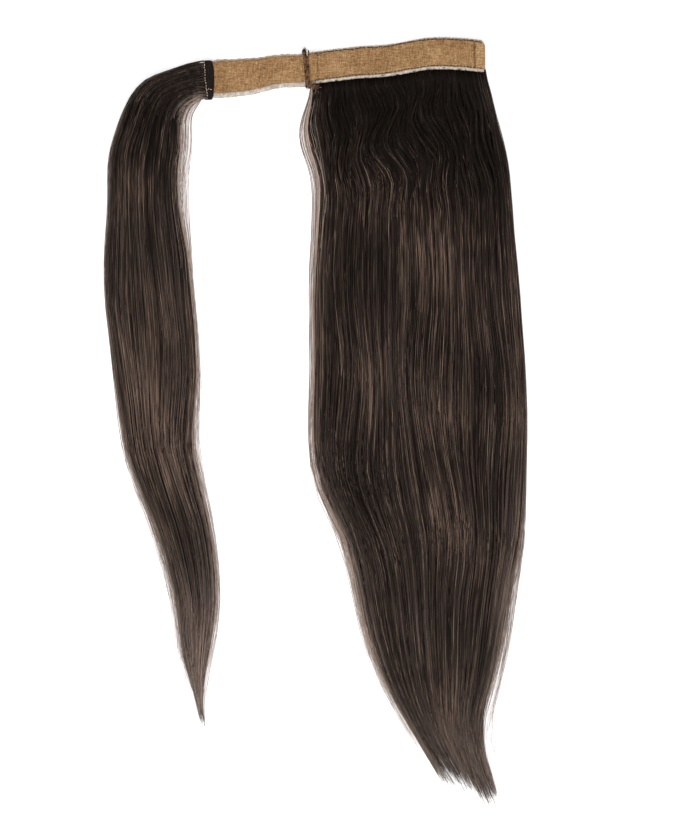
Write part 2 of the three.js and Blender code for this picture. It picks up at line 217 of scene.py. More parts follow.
def add_columns(mesh, count, points, sides):
    """Lays each tube in a column of its own on the UV map, root at the bottom."""
    tube = np.arange(count)[:, None, None, None]
    row = np.arange(points - 1)[None, :, None, None] + np.array([0, 1, 1, 0])
    column = np.arange(sides)[None, None, :, None] + np.array([0, 0, 1, 1])
    shape = (count, points - 1, sides, 4)
    margin = 0.1
    wide = margin + (1 - 2 * margin) * column / sides
    u = np.broadcast_to((tube + wide) / count, shape)
    v = np.broadcast_to(row / (points - 1), shape)
    walls = np.stack([u, v], axis=-1).reshape(-1, 2)
    end_u = np.repeat((np.arange(count) + 0.5) / count, 2 * sides)
    end_v = np.tile(np.repeat([0.0, 1.0], sides), count)
    ends = np.stack([end_u, end_v], axis=-1)
    layer = mesh.uv_layers.new(name="OFBake")
    layer.data.foreach_set("uv", np.concatenate([walls, ends]).astype(np.float32).ravel())


def add_values(mesh, name, values):
    """Stores one number for each vertex, for the finish to read."""
    attribute = mesh.attributes.new(name, "FLOAT", "POINT")
    attribute.data.foreach_set("value", values.astype(np.float32).ravel())


# %% Smooth steps and wandering lines
def smoothstep(low, high, value):
    """A soft step, from 0 at the low value to 1 at the high one."""
    share = np.clip((value - low) / (high - low), 0, 1)
    return share * share * (3 - 2 * share)


def wander(count, at, waves, size):
    """A slow random swing along each of count lines, from a few sine waves of falling size."""
    total = np.zeros((count, at.shape[-1]))
    for order in range(1, waves + 1):
        phase = dice.uniform(0, 2 * math.pi, (count, 1))
        strength = dice.normal(0, size / order, (count, 1))
        total += strength * np.sin(2 * math.pi * order * at * dice.uniform(0.6, 1.2, (count, 1)) + phase)
    return total


# %% [markdown]
# ## Measuring the two hanks
#
# The solids already hold the true outline and thickness, so nothing is drawn twice. Rays are dropped on
# each solid along a row of sections, and the first and last hits give its edges there, and the highest
# hit its thickness. The sections of the fall are level with the band. Those of the lock turn with its
# hair, so they follow a short table: how far back, how far down, and which way the hair runs.

# %% Sections of a solid
RAY_HEIGHT = 0.1
RAY_STEP = 0.5 * MM


def ray_target(node):
    """A solid of the frame, ready for rays."""
    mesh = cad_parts[node].data
    return BVHTree.FromPolygons([v.co for v in mesh.vertices], [p.vertices for p in mesh.polygons])


def measured_sections(node, middles, acrosses, reach):
    """The left and right offset and the height of a CAD solid at each section."""
    tree = ray_target(node)
    down = Vector((0, 0, -1))
    offsets = np.arange(-reach, reach, RAY_STEP)
    rows = []
    for middle, across in zip(middles, acrosses):
        heights = []
        for offset in offsets:
            x, y = middle + across * offset
            hit = tree.ray_cast(Vector((x, y, RAY_HEIGHT)), down)[0]
            heights.append(hit.z if hit else 0.0)
        found = np.flatnonzero(np.array(heights) > 0)
        if len(found):
            rows.append((offsets[found[0]], offsets[found[-1]], max(heights)))
        else:
            rows.append(rows[-1])
    return np.array(rows)


def softened(values, times=1):
    """Evens out a row of measures a little, with its ends kept."""
    for _ in range(times):
        inner = (values[:-2] + 2 * values[1:-1] + values[2:]) / 4
        values = np.concatenate([values[:1], inner, values[-1:]])
    return values


def through(table, column, at):
    """A table's column at a share along it, on a smooth curve through its rows."""
    rows = np.array(table, float)
    shares = rows[:, 0]
    values = rows[:, column]
    slopes = np.gradient(values, shares)
    k = np.clip(np.searchsorted(shares, at, side="right") - 1, 0, len(shares) - 2)
    span = shares[k + 1] - shares[k]
    u = np.clip((at - shares[k]) / span, 0, 1)
    from_part = values[k] * (1 + 2 * u) * (1 - u) ** 2 + slopes[k] * span * u * (1 - u) ** 2
    to_part = values[k + 1] * u * u * (3 - 2 * u) - slopes[k + 1] * span * u * u * (1 - u)
    return from_part + to_part


# %% The fall's sections
FALL_SECTIONS = 90
FALL_REACH = 0.12
SAME_PLACE = 0.02 * MM


def lower_edge(node):
    """The lower edge of a tape as rows of x and y."""
    corners = np.array([v.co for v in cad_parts[node].data.vertices])
    places = np.unique(corners[:, 0].round(5))
    lowest = [corners[np.abs(corners[:, 0] - x) < SAME_PLACE][:, 1].min() for x in places]
    return places, np.array(lowest)


base_edge = lower_edge("base_hook_tape")
root_middle_y = np.interp(0, *base_edge)
fall_low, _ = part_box("fall_of_hair")
FALL_LENGTH = root_middle_y - fall_low.y
fall_at = np.linspace(0, 1, FALL_SECTIONS)
fall_middles = np.stack([np.zeros(FALL_SECTIONS), root_middle_y - fall_at * FALL_LENGTH], axis=-1)
fall_acrosses = np.tile([1.0, 0.0], (FALL_SECTIONS, 1))
fall_rows = measured_sections("fall_of_hair", fall_middles, fall_acrosses, FALL_REACH)
fall_width = np.ptp(fall_rows[:, :2], 1).max()
print("fall: length, mm", round(FALL_LENGTH / MM), "widest, mm", round(fall_width / MM))

# %% The lock's sections
cover_low, cover_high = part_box("lock_cover")
LOCK_LENGTH = 478 * MM
LOCK_SECTIONS = 90
LOCK_REACH = 0.045
ROOT_GAP = 0.6 * MM
lock_root = np.array([cover_low.x - ROOT_GAP, (cover_low.y + cover_high.y) / 2])
# at, back and down in lock lengths, turn in degrees from the strap's line
lock_route = (
    (0.000, 0.0000, 0.0000, 0),
    (0.009, 0.0080, 0.0030, 15),
    (0.020, 0.0190, 0.0080, 28),
    (0.037, 0.0335, 0.0150, 43),
    (0.054, 0.0480, 0.0240, 53),
    (0.072, 0.0585, 0.0380, 62),
    (0.094, 0.0650, 0.0600, 70),
    (0.123, 0.0710, 0.0880, 75),
    (0.150, 0.0775, 0.1140, 82),
    (0.173, 0.0795, 0.1370, 88),
    (0.205, 0.0790, 0.1690, 90),
    (0.314, 0.0790, 0.2785, 90),
    (0.432, 0.0690, 0.3955, 90),
    (0.549, 0.0630, 0.5130, 90),
    (0.640, 0.0455, 0.6005, 90),
    (0.761, 0.0150, 0.7180, 90),
    (0.879, 0.0090, 0.8350, 90),
    (1.000, -0.0080, 0.9540, 90),
)
lock_at = np.linspace(0, 1, LOCK_SECTIONS)
lock_turn = np.radians(through(lock_route, 3, lock_at))
lock_middles = lock_root - LOCK_LENGTH * np.stack(
    [through(lock_route, 1, lock_at), through(lock_route, 2, lock_at)], axis=-1
)
lock_acrosses = np.stack([np.sin(lock_turn), -np.cos(lock_turn)], axis=-1)
lock_rows = measured_sections("wrapping_lock", lock_middles, lock_acrosses, LOCK_REACH)
lock_width = np.ptp(lock_rows[:, :2], 1).max()
print("lock: length, mm", round(LOCK_LENGTH / MM), "widest, mm", round(lock_width / MM))

# %% [markdown]
# The outer few millimetres of a hank are not dense: single strands stray there, with the table showing
# between them. So a place across a hank is counted from -1 to 1 over the dense part, and on to -2 and 2
# over the loose fringe on each side. How wide the fringe is comes from a short table for each hank. A
# fringe never takes more than a set part of the section, and no section counts as narrower than a few
# millimetres, so the strands keep room at the very tips.

# %% Places across a hank
# share along the hank, then the width of the left and right fringe in mm
fall_fringe = np.array((
    (0.00, 1.0, 0.5),
    (0.03, 4.0, 0.8),
    (0.08, 7.0, 1.0),
    (0.14, 6.5, 1.0),
    (0.20, 5.0, 1.0),
    (0.56, 4.5, 1.2),
    (0.64, 5.0, 3.0),
    (0.74, 4.0, 5.5),
    (0.84, 4.5, 5.5),
    (0.93, 5.0, 7.0),
    (1.00, 5.0, 7.0),
))
lock_fringe = np.array((
    (0.00, 0.5, 1.0),
    (0.03, 0.5, 4.5),
    (0.08, 0.8, 8.0),
    (0.22, 1.0, 7.0),
    (0.30, 1.0, 2.5),
    (0.46, 1.0, 2.5),
    (0.56, 2.0, 5.5),
    (0.62, 3.2, 4.2),
    (0.70, 4.2, 3.0),
    (0.85, 3.2, 3.5),
    (1.00, 3.0, 3.0),
))
MOST_FRINGE = 0.3
LEAST_HALF = 4 * MM
print("fringes, mm: fall", fall_fringe[:, 1:].max(), "at most, lock", lock_fringe[:, 1:].max(), "at most")


def across_hank(rows, places, fringe, at, side):
    """How far a place lies from the middle line of its section."""
    measured_left = np.interp(at, places, softened(rows[:, 0], 2))
    measured_right = np.interp(at, places, softened(rows[:, 1], 2))
    middle = (measured_left + measured_right) / 2
    half = np.maximum((measured_right - measured_left) / 2, LEAST_HALF)
    left = middle - half
    right = middle + half
    most = MOST_FRINGE * (right - left)
    left_fringe = np.minimum(np.interp(at, fringe[:, 0], fringe[:, 1]) * MM, most)
    right_fringe = np.minimum(np.interp(at, fringe[:, 0], fringe[:, 2]) * MM, most)
    dense_left = left + left_fringe
    dense_right = right - right_fringe
    dense = (dense_left + dense_right) / 2 + np.clip(side, -1, 1) * (dense_right - dense_left) / 2
    return dense + np.clip(side - 1, 0, 2) * right_fringe - np.clip(-side - 1, 0, 2) * left_fringe


# %% Heights in a hank
ROOT_HEIGHT = 2.6 * MM
ROOT_RISES_BY = 0.03
CROWN_DROP = 0.12
EDGE_DROP = 0.45
FRINGE_DROP = 0.45


def height_in(rows, places, at, side, share):
    """The height of a place that lies at a share of the hank's thickness there."""
    inside = np.clip(side, -1, 1)
    fullness = 1 - CROWN_DROP * inside**2 - EDGE_DROP * np.abs(inside) ** 8
    fullness = fullness * (1 - FRINGE_DROP * np.clip(np.abs(side) - 1, 0, 1))
    top = np.interp(at, places, softened(rows[:, 2], 4)) * fullness
    return share * (ROOT_HEIGHT + (top - ROOT_HEIGHT) * smoothstep(0, ROOT_RISES_BY, at))


# %% Places in the fall
WAVE_LENGTH = 66 * MM
WAVE_HEIGHT = 3.2 * MM
WAVE_LAG = 0.35
LEVEL_BY = 0.2
TIP_FROM = 0.905
# place across the fall, then how far its hair runs aside for each mm down beyond TIP_FROM, and how far down
# its ends reach
fall_tip = np.array((
    (-1.0, 0.60, 0.980),
    (-0.6, 0.60, 0.972),
    (-0.3, 0.54, 0.984),
    (0.1, 0.48, 0.998),
    (0.5, 0.41, 1.004),
    (1.0, 0.31, 1.004),
))


def in_fall(at, side, share):
    """Places for shares along the fall, places across it and shares of its thickness."""
    inside = np.clip(side, -1, 1)
    root_x = fall_rows[1, 0] + (inside + 1) / 2 * (fall_rows[1, 1] - fall_rows[1, 0])
    root_y = np.interp(root_x, *base_edge)
    y = root_y + (root_middle_y - root_y) * smoothstep(0, LEVEL_BY, at) - at * FALL_LENGTH
    phase = WAVE_LAG * inside
    wave = np.sin(2 * math.pi * (at * FALL_LENGTH / WAVE_LENGTH + phase)) - np.sin(2 * math.pi * phase)
    fading = smoothstep(0, 0.04, at) * (1 - smoothstep(0.07, 0.17, at)) * (1 - inside**2)
    aside = np.interp(inside, fall_tip[:, 0], fall_tip[:, 1]) * np.clip(at - TIP_FROM, 0, None)
    aside = aside * FALL_LENGTH
    across = across_hank(fall_rows, fall_at, fall_fringe, np.minimum(at, TIP_FROM), side)
    x = across + aside + wave * fading * WAVE_HEIGHT
    return np.stack([x, y, height_in(fall_rows, fall_at, at, side, share)], axis=-1)


# %% Places in the lock
def in_lock(at, side, share):
    """Places in the lock. Above its root, at below 0, they run on towards the strap."""
    middle = [np.interp(at, lock_at, lock_middles[:, k]) for k in (0, 1)]
    across = [np.interp(at, lock_at, lock_acrosses[:, k]) for k in (0, 1)]
    offset = across_hank(lock_rows, lock_at, lock_fringe, at, side)
    x = middle[0] + across[0] * offset + np.clip(-at, 0, None) * LOCK_LENGTH
    y = middle[1] + across[1] * offset
    return np.stack([x, y, height_in(lock_rows, lock_at, at, side, share)], axis=-1)


# %% [markdown]
# ## The finish of the hair
#
# Dark hair is almost black where it is shaded, and what colour it shows comes as streaks: some strands
# are browner, a few are honey coloured, and the ends are bleached by wear. Each strand carries two
# numbers along its length. Its tone carries painted highlight and painted shade as well as its own, and
# its wear carries a painted sheen at the edges and on the pale loose strands as well as real wear. A
# colour ramp turns the tone into a brown, and the wear mixes in a pale ash. A fine noise, read from each
# strand's own column of the UV map, breaks it into short streaks, however the strand bends. The bodies
# have no such map, so a second noise in the object's space does it for them.

# %% Helpers for finishes
def noise_nodes(nodes, link, scale, stretch=(1, 1, 1), detail=3, place=None):
    """A noise over the object's own coordinates, or over others."""
    if place is None:
        place = nodes.new("ShaderNodeTexCoord").outputs["Object"]
    stretched = nodes.new("ShaderNodeMapping")
    stretched.inputs["Scale"].default_value = stretch
    link(place, stretched.inputs["Vector"])
    noise = nodes.new("ShaderNodeTexNoise")
    noise.inputs["Scale"].default_value = scale
    noise.inputs["Detail"].default_value = detail
    link(stretched.outputs["Vector"], noise.inputs["Vector"])
    return noise.outputs["Fac"]


def ramp_node(nodes, link, source, stops):
    """A colour ramp through stops of position and colour."""
    node = nodes.new("ShaderNodeValToRGB")
    elements = node.color_ramp.elements
    elements[0].position, elements[0].color = stops[0][0], (*stops[0][1], 1)
    elements[1].position, elements[1].color = stops[-1][0], (*stops[-1][1], 1)
    for position, colour in stops[1:-1]:
        elements.new(position).color = (*colour, 1)
    link(source, node.inputs["Fac"])
    return node.outputs["Color"]


def new_finish(name, roughness, specular, tint=(1, 1, 1)):
    """A finish with its shader, its nodes and its link function."""
    finish = bpy.data.materials.new(name)
    finish.use_nodes = True
    tree = finish.node_tree
    shader = tree.nodes["Principled BSDF"]
    shader.inputs["Roughness"].default_value = roughness
    shader.inputs["Specular IOR Level"].default_value = specular
    shader.inputs["Specular Tint"].default_value = (*tint, 1)
    return finish, shader, tree.nodes, tree.links.new


def stored(nodes, name):
    """The number that each point of a mesh carries under a name."""
    node = nodes.new("ShaderNodeAttribute")
    node.attribute_name = name
    return node.outputs["Fac"]


def math_node(nodes, link, operation, first, second):
    """The result of a sum or product of two sources or numbers."""
    node = nodes.new("ShaderNodeMath")
    node.operation = operation
    for socket, source in zip(node.inputs, (first, second)):
        if isinstance(source, (int, float)):
            socket.default_value = source
        else:
            link(source, socket)
    return node.outputs[0]


# %% Hair finish
BROWNS = (
    (0.00, (0.0028, 0.0022, 0.0020)),
    (0.25, (0.0070, 0.0048, 0.0041)),
    (0.45, (0.0230, 0.0150, 0.0122)),
    (0.60, (0.0490, 0.0312, 0.0250)),
    (0.78, (0.1150, 0.0745, 0.0590)),
    (0.90, (0.2200, 0.1450, 0.1080)),
    (1.00, (0.3500, 0.2450, 0.1850)),
)
ASH = (0.60, 0.465, 0.395)
WARM_GLOSS = (1, 0.82, 0.68)
ALONG_HANK = (1300, 55, 500)
ALONG_STRAND = (5000, 26, 1)
STRAND_SHARE = 1.6
NOISE_MIDDLE = (1 + STRAND_SHARE) / 2
STREAK_STRENGTH = 0.5


def hair_finish():
    """Brown by tone, ash where worn and where sheen is painted, and broken into streaks by two noises."""
    finish, shader, nodes, link = new_finish("brown_hair", 0.4, 0.22, WARM_GLOSS)
    tone = stored(nodes, "tone")
    # this number mixes in the pale ash: real wear, and painted sheen on the edges and loose strands
    wear = stored(nodes, "wear")
    broken = noise_nodes(nodes, link, 1, stretch=ALONG_HANK)
    columns = nodes.new("ShaderNodeUVMap")
    columns.uv_map = "OFBake"
    streaks = noise_nodes(nodes, link, 1, stretch=ALONG_STRAND, detail=2, place=columns.outputs["UV"])
    both = math_node(nodes, link, "ADD", broken, math_node(nodes, link, "MULTIPLY", streaks, STRAND_SHARE))
    centred = math_node(nodes, link, "SUBTRACT", both, NOISE_MIDDLE)
    shift = math_node(nodes, link, "MULTIPLY", centred, STREAK_STRENGTH)
    brown = ramp_node(nodes, link, math_node(nodes, link, "ADD", tone, shift), BROWNS)
    worn = nodes.new("ShaderNodeMix")
    worn.data_type = "RGBA"
    worn.inputs["B"].default_value = (*ASH, 1)
    link(wear, worn.inputs["Factor"])
    link(brown, worn.inputs["A"])
    link(worn.outputs["Result"], shader.inputs["Base Color"])
    return finish


brown_hair = hair_finish()
print(f"{brown_hair.name}: {len(brown_hair.node_tree.nodes)} nodes, {len(BROWNS)} browns and an ash")

# %% [markdown]
# Gloss on combed hair comes in soft patches, because the hank rises and dips where it was handled. These
# tables paint the patches that stand out into the tone, as painted highlight and painted shade, and slow
# random waves, which also lift the strands a little, paint smaller ones. Other slow waves push the strands
# a little to the side, which is what makes neighbours run together and part again.

# %% Patches and slow waves
# share along, place across, reach along, reach across, change of tone: painted highlight up, painted shade
# down
fall_gloss_patches = (
    # painted shade at the root, under the band
    (0.00, 0.0, 0.115, 9.00, -0.33),
    (0.055, -0.86, 0.045, 0.07, 0.26),
    (0.060, -0.70, 0.025, 0.05, -0.20),
    (0.075, -0.54, 0.040, 0.08, 0.16),
    (0.13, 0.4, 0.060, 0.70, -0.12),
    (0.157, -0.60, 0.030, 0.35, 0.12),
    (0.29, -0.55, 0.090, 0.35, -0.15),
    (0.27, 0.15, 0.110, 0.30, 0.07),
    (0.19, 0.85, 0.140, 0.16, -0.16),
    (0.435, 0.45, 0.024, 0.45, -0.17),
    (0.483, 0.35, 0.020, 0.60, 0.15),
    (0.44, -0.50, 0.035, 0.07, 0.26),
    (0.59, -0.65, 0.065, 0.28, -0.16),
    (0.60, 0.08, 0.055, 0.13, 0.22),
    (0.58, 0.60, 0.080, 0.25, -0.08),
    (0.725, -0.15, 0.035, 0.40, -0.13),
    (0.805, -0.20, 0.018, 0.08, 0.22),
    (0.55, 0.0, 0.130, 1.50, -0.03),
    (0.83, 0.0, 0.160, 1.50, -0.09),
    (0.91, -0.05, 0.060, 0.28, 0.21),
)
lock_gloss_patches = (
    # painted shade at the root, by the cover
    (0.00, 0.0, 0.150, 9.00, -0.30),
    (0.05, -0.45, 0.060, 0.22, 0.07),
    (0.04, 0.10, 0.050, 0.60, -0.12),
    (0.115, 0.15, 0.060, 0.45, -0.16),
    (0.12, -0.80, 0.080, 0.20, 0.05),
    (0.19, 0.0, 0.030, 0.80, 0.08),
    (0.28, 0.0, 0.050, 1.20, -0.16),
    (0.55, 0.0, 0.120, 1.20, 0.16),
    (0.735, 0.2, 0.070, 0.70, -0.27),
    (0.92, 0.5, 0.100, 0.80, 0.26),
)


def painted_gloss_tone(table, at, side):
    """The painted highlight and shade in the tone at places in a hank."""
    total = np.zeros(np.broadcast(at, side).shape)
    for place, middle, along, across, change in table:
        total += change * np.exp(-(((at - place) / along) ** 2) - ((side - middle) / across) ** 2)
    return total


def slow_waves(count, along, across):
    """Random waves over a hank: how often each repeats along and across it, its phase and its size."""
    sizes = dice.uniform(0.5, 1.0, count) / math.sqrt(count)
    times_along = dice.uniform(*along, count)
    times_across = dice.uniform(*across, count)
    phases = dice.uniform(0, 2 * math.pi, count)
    return np.stack([times_along, times_across, phases, sizes], axis=-1)


def on_waves(waves, at, side):
    """The height of such waves at places in a hank."""
    return sum(size * np.sin(2 * math.pi * (a * at + b * side) + phase) for a, b, phase, size in waves)


# %% [markdown]
# What the strands of one hank share is kept together: where its places are, its tone, where its wear
# starts, and its own random waves and clumps. Hair hangs together in clumps of a few dozen strands, so
# each clump has a tone, a height, a lean and an end of its own, which its strands follow.

# %% Two hanks
class Hank:
    """What the strands of one hank share."""

    def __init__(
        self, name, place, patches, clumps, tone, worn_from, worn, root_push, root_contrast, reach,
        tip_streaks,
    ):
        self.name = name
        self.place = place
        self.patches = patches
        self.clumps = clumps
        self.tone = tone
        self.worn_from = worn_from
        self.worn = worn
        self.root_push = root_push
        self.root_contrast = root_contrast
        self.reach = reach
        self.body_reach = reach[0] + 0.01
        self.splay = 1.3 * (reach[1] - reach[0])
        self.flow = slow_waves(6, (1.0, 4.0), (-0.8, 0.8))
        self.root_flow = slow_waves(5, (6.0, 10.5), (-1.7, 1.7))
        self.lift = slow_waves(6, (3.0, 9.0), (-1.2, 1.2))
        self.tip_streaks = slow_waves(10, (0.4, 3.0), tip_streaks)
        self.clump_middle = (np.arange(clumps) + dice.uniform(0.1, 0.9, clumps)) / clumps * 2 - 1
        self.clump_tone = dice.normal(0, 0.035, clumps)
        self.clump_share = dice.normal(0, 0.02, clumps)
        self.clump_lean = dice.normal(0, 0.025, clumps)
        self.clump_lag = dice.normal(0, 0.01, clumps)
        self.clump_reach = dice.uniform(0, 0.02, clumps)

    def moved(self, at, side, lag=0.0):
        """A place across the hank, pushed by the slow waves, and by quicker ones near the root."""
        near_root = smoothstep(0.01, 0.06, at) * (1 - smoothstep(0.1, 0.2, at))
        calm = 1 - np.abs(np.clip(side, -1, 1)) ** 4
        push = 0.05 * on_waves(self.flow, at, side) * smoothstep(0.1, 0.4, at)
        return side + (push + self.root_push * on_waves(self.root_flow, at + lag, side) * near_root) * calm


fall = Hank(
    "fall", in_fall, fall_gloss_patches, clumps=90, tone=0.47, worn_from=0.84, worn=0.8, root_push=0.065,
    root_contrast=0.6, reach=(0.935, 1.012), tip_streaks=(7.0, 15.0),
)
lock = Hank(
    "lock", in_lock, lock_gloss_patches, clumps=40, tone=0.495, worn_from=0.68, worn=1.1, root_push=0.04,
    root_contrast=1.1, reach=(0.82, 1.005), tip_streaks=(3.0, 7.0),
)
for hank in (fall, lock):
    print(f"{hank.name}: {hank.clumps} clumps, {len(hank.patches)} patches, tips from {hank.reach[0]}")

# %% [markdown]
# ## The dark bodies under the strands
#
# Strands alone would let the white table shine through. So each hank has a body that is a little smaller
# than its solid, with soft ridges along it, and the strands lie on it. It also fills the partings with
# shade.

# %% Bodies
BODY_SECTIONS = 64
BODY_ACROSS = 56
BODY_WIDTH = 0.97
BODY_NARROWS = 0.5
BODY_FLAT_POINTS = 9
ENDS_LAG = 0.05


def body_rings(hank):
    """Rings of a hank's body, ridged along its length, and drawn in and thinned out at its end."""
    at = np.linspace(-0.004, hank.body_reach, BODY_SECTIONS)[:, None]
    turn = np.linspace(0, math.pi, BODY_ACROSS)[None, :]
    ridge = 0.05 * np.sin(31 * turn + 9 * at) + 0.04 * np.sin(13 * turn - 6 * at)
    ending = smoothstep(0.78, hank.body_reach, at)
    side = np.cos(turn) * BODY_WIDTH * (1 - BODY_NARROWS * ending)
    flat = np.linspace(-BODY_WIDTH, BODY_WIDTH, BODY_FLAT_POINTS)[None, 1:-1] * (1 - BODY_NARROWS * ending)
    upper_at = at * (1 + ENDS_LAG * side * ending)
    lower_at = at * (1 + ENDS_LAG * flat * ending)
    upper = hank.place(upper_at, side, 0.08 + (0.78 + ridge) * (1 - 0.7 * ending) * np.sin(turn) ** 0.5)
    lower = hank.place(lower_at, flat, np.full((1, BODY_FLAT_POINTS - 2), 0.03))
    return np.concatenate([upper, lower], axis=1)


def body_piece(hank, node):
    """The body of a hank, a little lighter towards its end, in place of its solid."""
    rings = body_rings(hank)
    mesh = loft_mesh(f"{hank.name}_body", rings)
    count, around, _ = rings.shape
    row = np.arange(count)[:, None] / count
    # the body's low tone is painted shade of the hair inside; it rises towards the end, where the hair is
    # lighter
    add_values(mesh, "tone", np.repeat(0.16 + 0.24 * smoothstep(0.75, 1.0, row), around, axis=1))
    add_values(mesh, "wear", np.zeros(count * around))
    piece_from(f"{hank.name}_body", mesh, brown_hair, [node])


body_piece(fall, "fall_of_hair")
body_piece(lock, "wrapping_lock")

# %% [markdown]
# ## Strands
#
# A strand starts under the sewing and keeps its place across the hank all the way down. On top of that
# come four liberties: it leans towards the middle of the clump that it belongs to, more so near its tip,
# it wanders a little, it splays at its end, and it ends where it likes. Its points lie closer near the
# root, where the hair waves. A strand of the fringe keeps out of the clumps and wanders much more, and
# some leave the dense hair only part of the way down.

# %% The path of each strand
ROOT_TUCK = 0.006
HALF_THE_POINTS_BY = 0.27
CROWD = 0.07
FRINGE_ENDS = 2.4
DENSE_STRAY = 0.008


def strand_paths(hank, count, points, across, shares, reach, leaves=None, stray=0.16, waves=4):
    """The places along each strand, with the shares along the hank and the places across it."""
    along = np.interp(np.linspace(0, 1, points), (0, 0.5, 1), (0, HALF_THE_POINTS_BY, 1))[None, :]
    side = dice.uniform(*across, (count, 1))
    loose = np.abs(side) > 1
    side = np.where(loose, np.sign(side) * (1 + np.clip(np.abs(side) - 1, 0, 2) ** 1.4), side)
    clump = np.clip((np.clip(side, -1, 1) + 1) / 2 * hank.clumps, 0, hank.clumps - 1).astype(int)[:, 0]
    length = reach[1] - (reach[1] - reach[0]) * dice.random((count, 1)) ** 0.7
    length = length - np.where(loose[:, 0], 0, hank.clump_reach[clump])[:, None]
    if hank is fall:
        length = length * np.interp(side, fall_tip[:, 0], fall_tip[:, 2])
    at = along * (length + ROOT_TUCK) - ROOT_TUCK
    own = wander(count, along[0], waves, 1) * smoothstep(0.02, 0.3, along)
    own = own * np.where(loose, stray, DENSE_STRAY)
    own = own + dice.normal(0, hank.splay, (count, 1)) * smoothstep(0.8, 1.0, at)
    if leaves:
        leaving = dice.uniform(*leaves, (count, 1))
        inner = np.sign(side) * dice.uniform(0.85, 0.98, (count, 1))
        side = inner + (side - inner) * smoothstep(leaving, leaving + 0.25, at)
    lean = hank.clump_lean[clump, None] * (smoothstep(0.05, 0.9, along) - 0.3) * smoothstep(0, 0.1, along)
    to_clump = (hank.clump_middle[clump, None] - side) * CROWD * smoothstep(0.1, 1.0, along)
    lag = hank.clump_lag[clump, None] + dice.normal(0, 0.002, (count, 1))
    moved = hank.moved(at, side + own + np.where(loose, 0, lean + to_clump), lag)
    within = np.where(loose, FRINGE_ENDS, 1 + 2 * hank.splay * smoothstep(0.8, 1.0, at))
    over = np.abs(moved) - within
    moved = np.where(over > 0, np.sign(moved) * (within - over), moved)
    share = dice.uniform(*shares, (count, 1)) + hank.clump_share[clump, None]
    share = share + 0.05 * on_waves(hank.lift, at, moved)
    return hank.place(at, moved, np.clip(share, 0.02, 1.05)), at, moved, clump


# %% [markdown]
# Then each point gets its two numbers. The tone is the hank's own, uneven from strand to strand and along
# each strand, with the painted highlight and shade of the patches and of the slow waves, and finer streaks
# near the tips, on top. The wear grows towards the tips, where hair rubs and dries first. Along the edges
# a painted rim light is added to it, which pales the strands there as if they were lit from the side.
# Random powers keep most strands little worn and a few very pale.

# %% Tone and wear of each strand
LOW_RIM_SHEEN = 0.26
WAVE_GLOSS_TONE = 0.06
TIP_TONE = 0.3


def strand_tones(hank, at, moved, clump, spread):
    """The tone at each point of each strand."""
    count, points = at.shape
    uneven = dice.normal(0, 0.6, (count, 1)) + dice.normal(0, 0.5, (count, points))
    contrast = hank.root_contrast + (1 - hank.root_contrast) * smoothstep(0.0, 0.2, at)
    tone = hank.tone + (spread * uneven + hank.clump_tone[clump, None]) * contrast
    # painted gloss: the tone rises and falls with the waves that lift the strands
    tone = tone + painted_gloss_tone(hank.patches, at, moved) + WAVE_GLOSS_TONE * on_waves(hank.lift, at, moved)
    tone = tone + TIP_TONE * on_waves(hank.tip_streaks, at, moved) * smoothstep(0.6, 0.92, at)
    return np.clip(tone, 0.05, 0.97)


def strand_wears_and_sheen(hank, at, moved, wear, rim_sheen):
    """How worn each point is, with painted sheen: its own, that of the tips, and the painted rim light of
    the edges.
    """
    count = len(at)
    kept = np.where(np.abs(moved) > 0.9, 1, smoothstep(0.1, 0.35, at))
    pale = wear * dice.random((count, 1)) ** 1.2 * kept
    pale = pale + hank.worn * dice.random((count, 1)) ** 2 * smoothstep(hank.worn_from, 1.05, at)
    # painted rim light: strands near the edges are paled as if lit from the side
    edge = rim_sheen * smoothstep(0.9, 1.0, np.abs(moved))
    edge = edge + LOW_RIM_SHEEN * smoothstep(0.8, 1.0, np.abs(moved)) * smoothstep(0.4, 0.7, at)
    return np.clip(pale + edge * dice.random((count, 1)) ** 2.5 * 1.6, 0, 1)


# %% [markdown]
# A bundle is one piece: all its tubes share a mesh, because thousands of separate objects would be slow
# to handle. A bundle is laid between two shares of the hank's thickness, so the bundles lie over one
# another: some near the table, many inside, and the finest on the face. The tubes have three sides, which
# is enough at their width, and get thinner near their tips.

# %% A bundle of strands
TUBE_SIDES = 3
TIP_THINS = 0.6


def add_tube_values(mesh, name, values):
    """Stores a number for each point of each tube, on all the corners of its ring."""
    add_values(mesh, name, np.repeat(values[..., None], TUBE_SIDES, axis=-1))


def strand_piece(
    name, hank, count, points, across, shares, width, reach=None, spread=0.2, wear=0.0, rim_sheen=0.0, **freedom
):
    """A bundle of strands as one piece."""
    reach = reach or hank.reach
    paths, at, moved, clump = strand_paths(hank, count, points, across, shares, reach, **freedom)
    taper = 1 - TIP_THINS * smoothstep(0.8, 1.0, np.linspace(0, 1, points)[None, :])
    radii = width / 2 * dice.uniform(0.6, 1.4, (count, 1)) * taper
    paths[..., 2] = np.maximum(paths[..., 2], radii)
    mesh = tubes_mesh(name, paths, radii, TUBE_SIDES, columns=True)
    add_tube_values(mesh, "tone", strand_tones(hank, at, moved, clump, spread))
    add_tube_values(mesh, "wear", strand_wears_and_sheen(hank, at, moved, wear, rim_sheen))
    piece_from(name, mesh, brown_hair)


# %% The bundles of both hanks
THICK = 0.62 * MM
FINE = 0.41 * MM
ALL_OVER = (-1, 1)
NEAR_TABLE = (0.03, 0.3)
INSIDE = (0.5, 0.93)
ON_TOP = (0.88, 1.0)
ON_FACE = (0.94, 1.03)
DOWN_THE_EDGE = (0.1, 0.95)

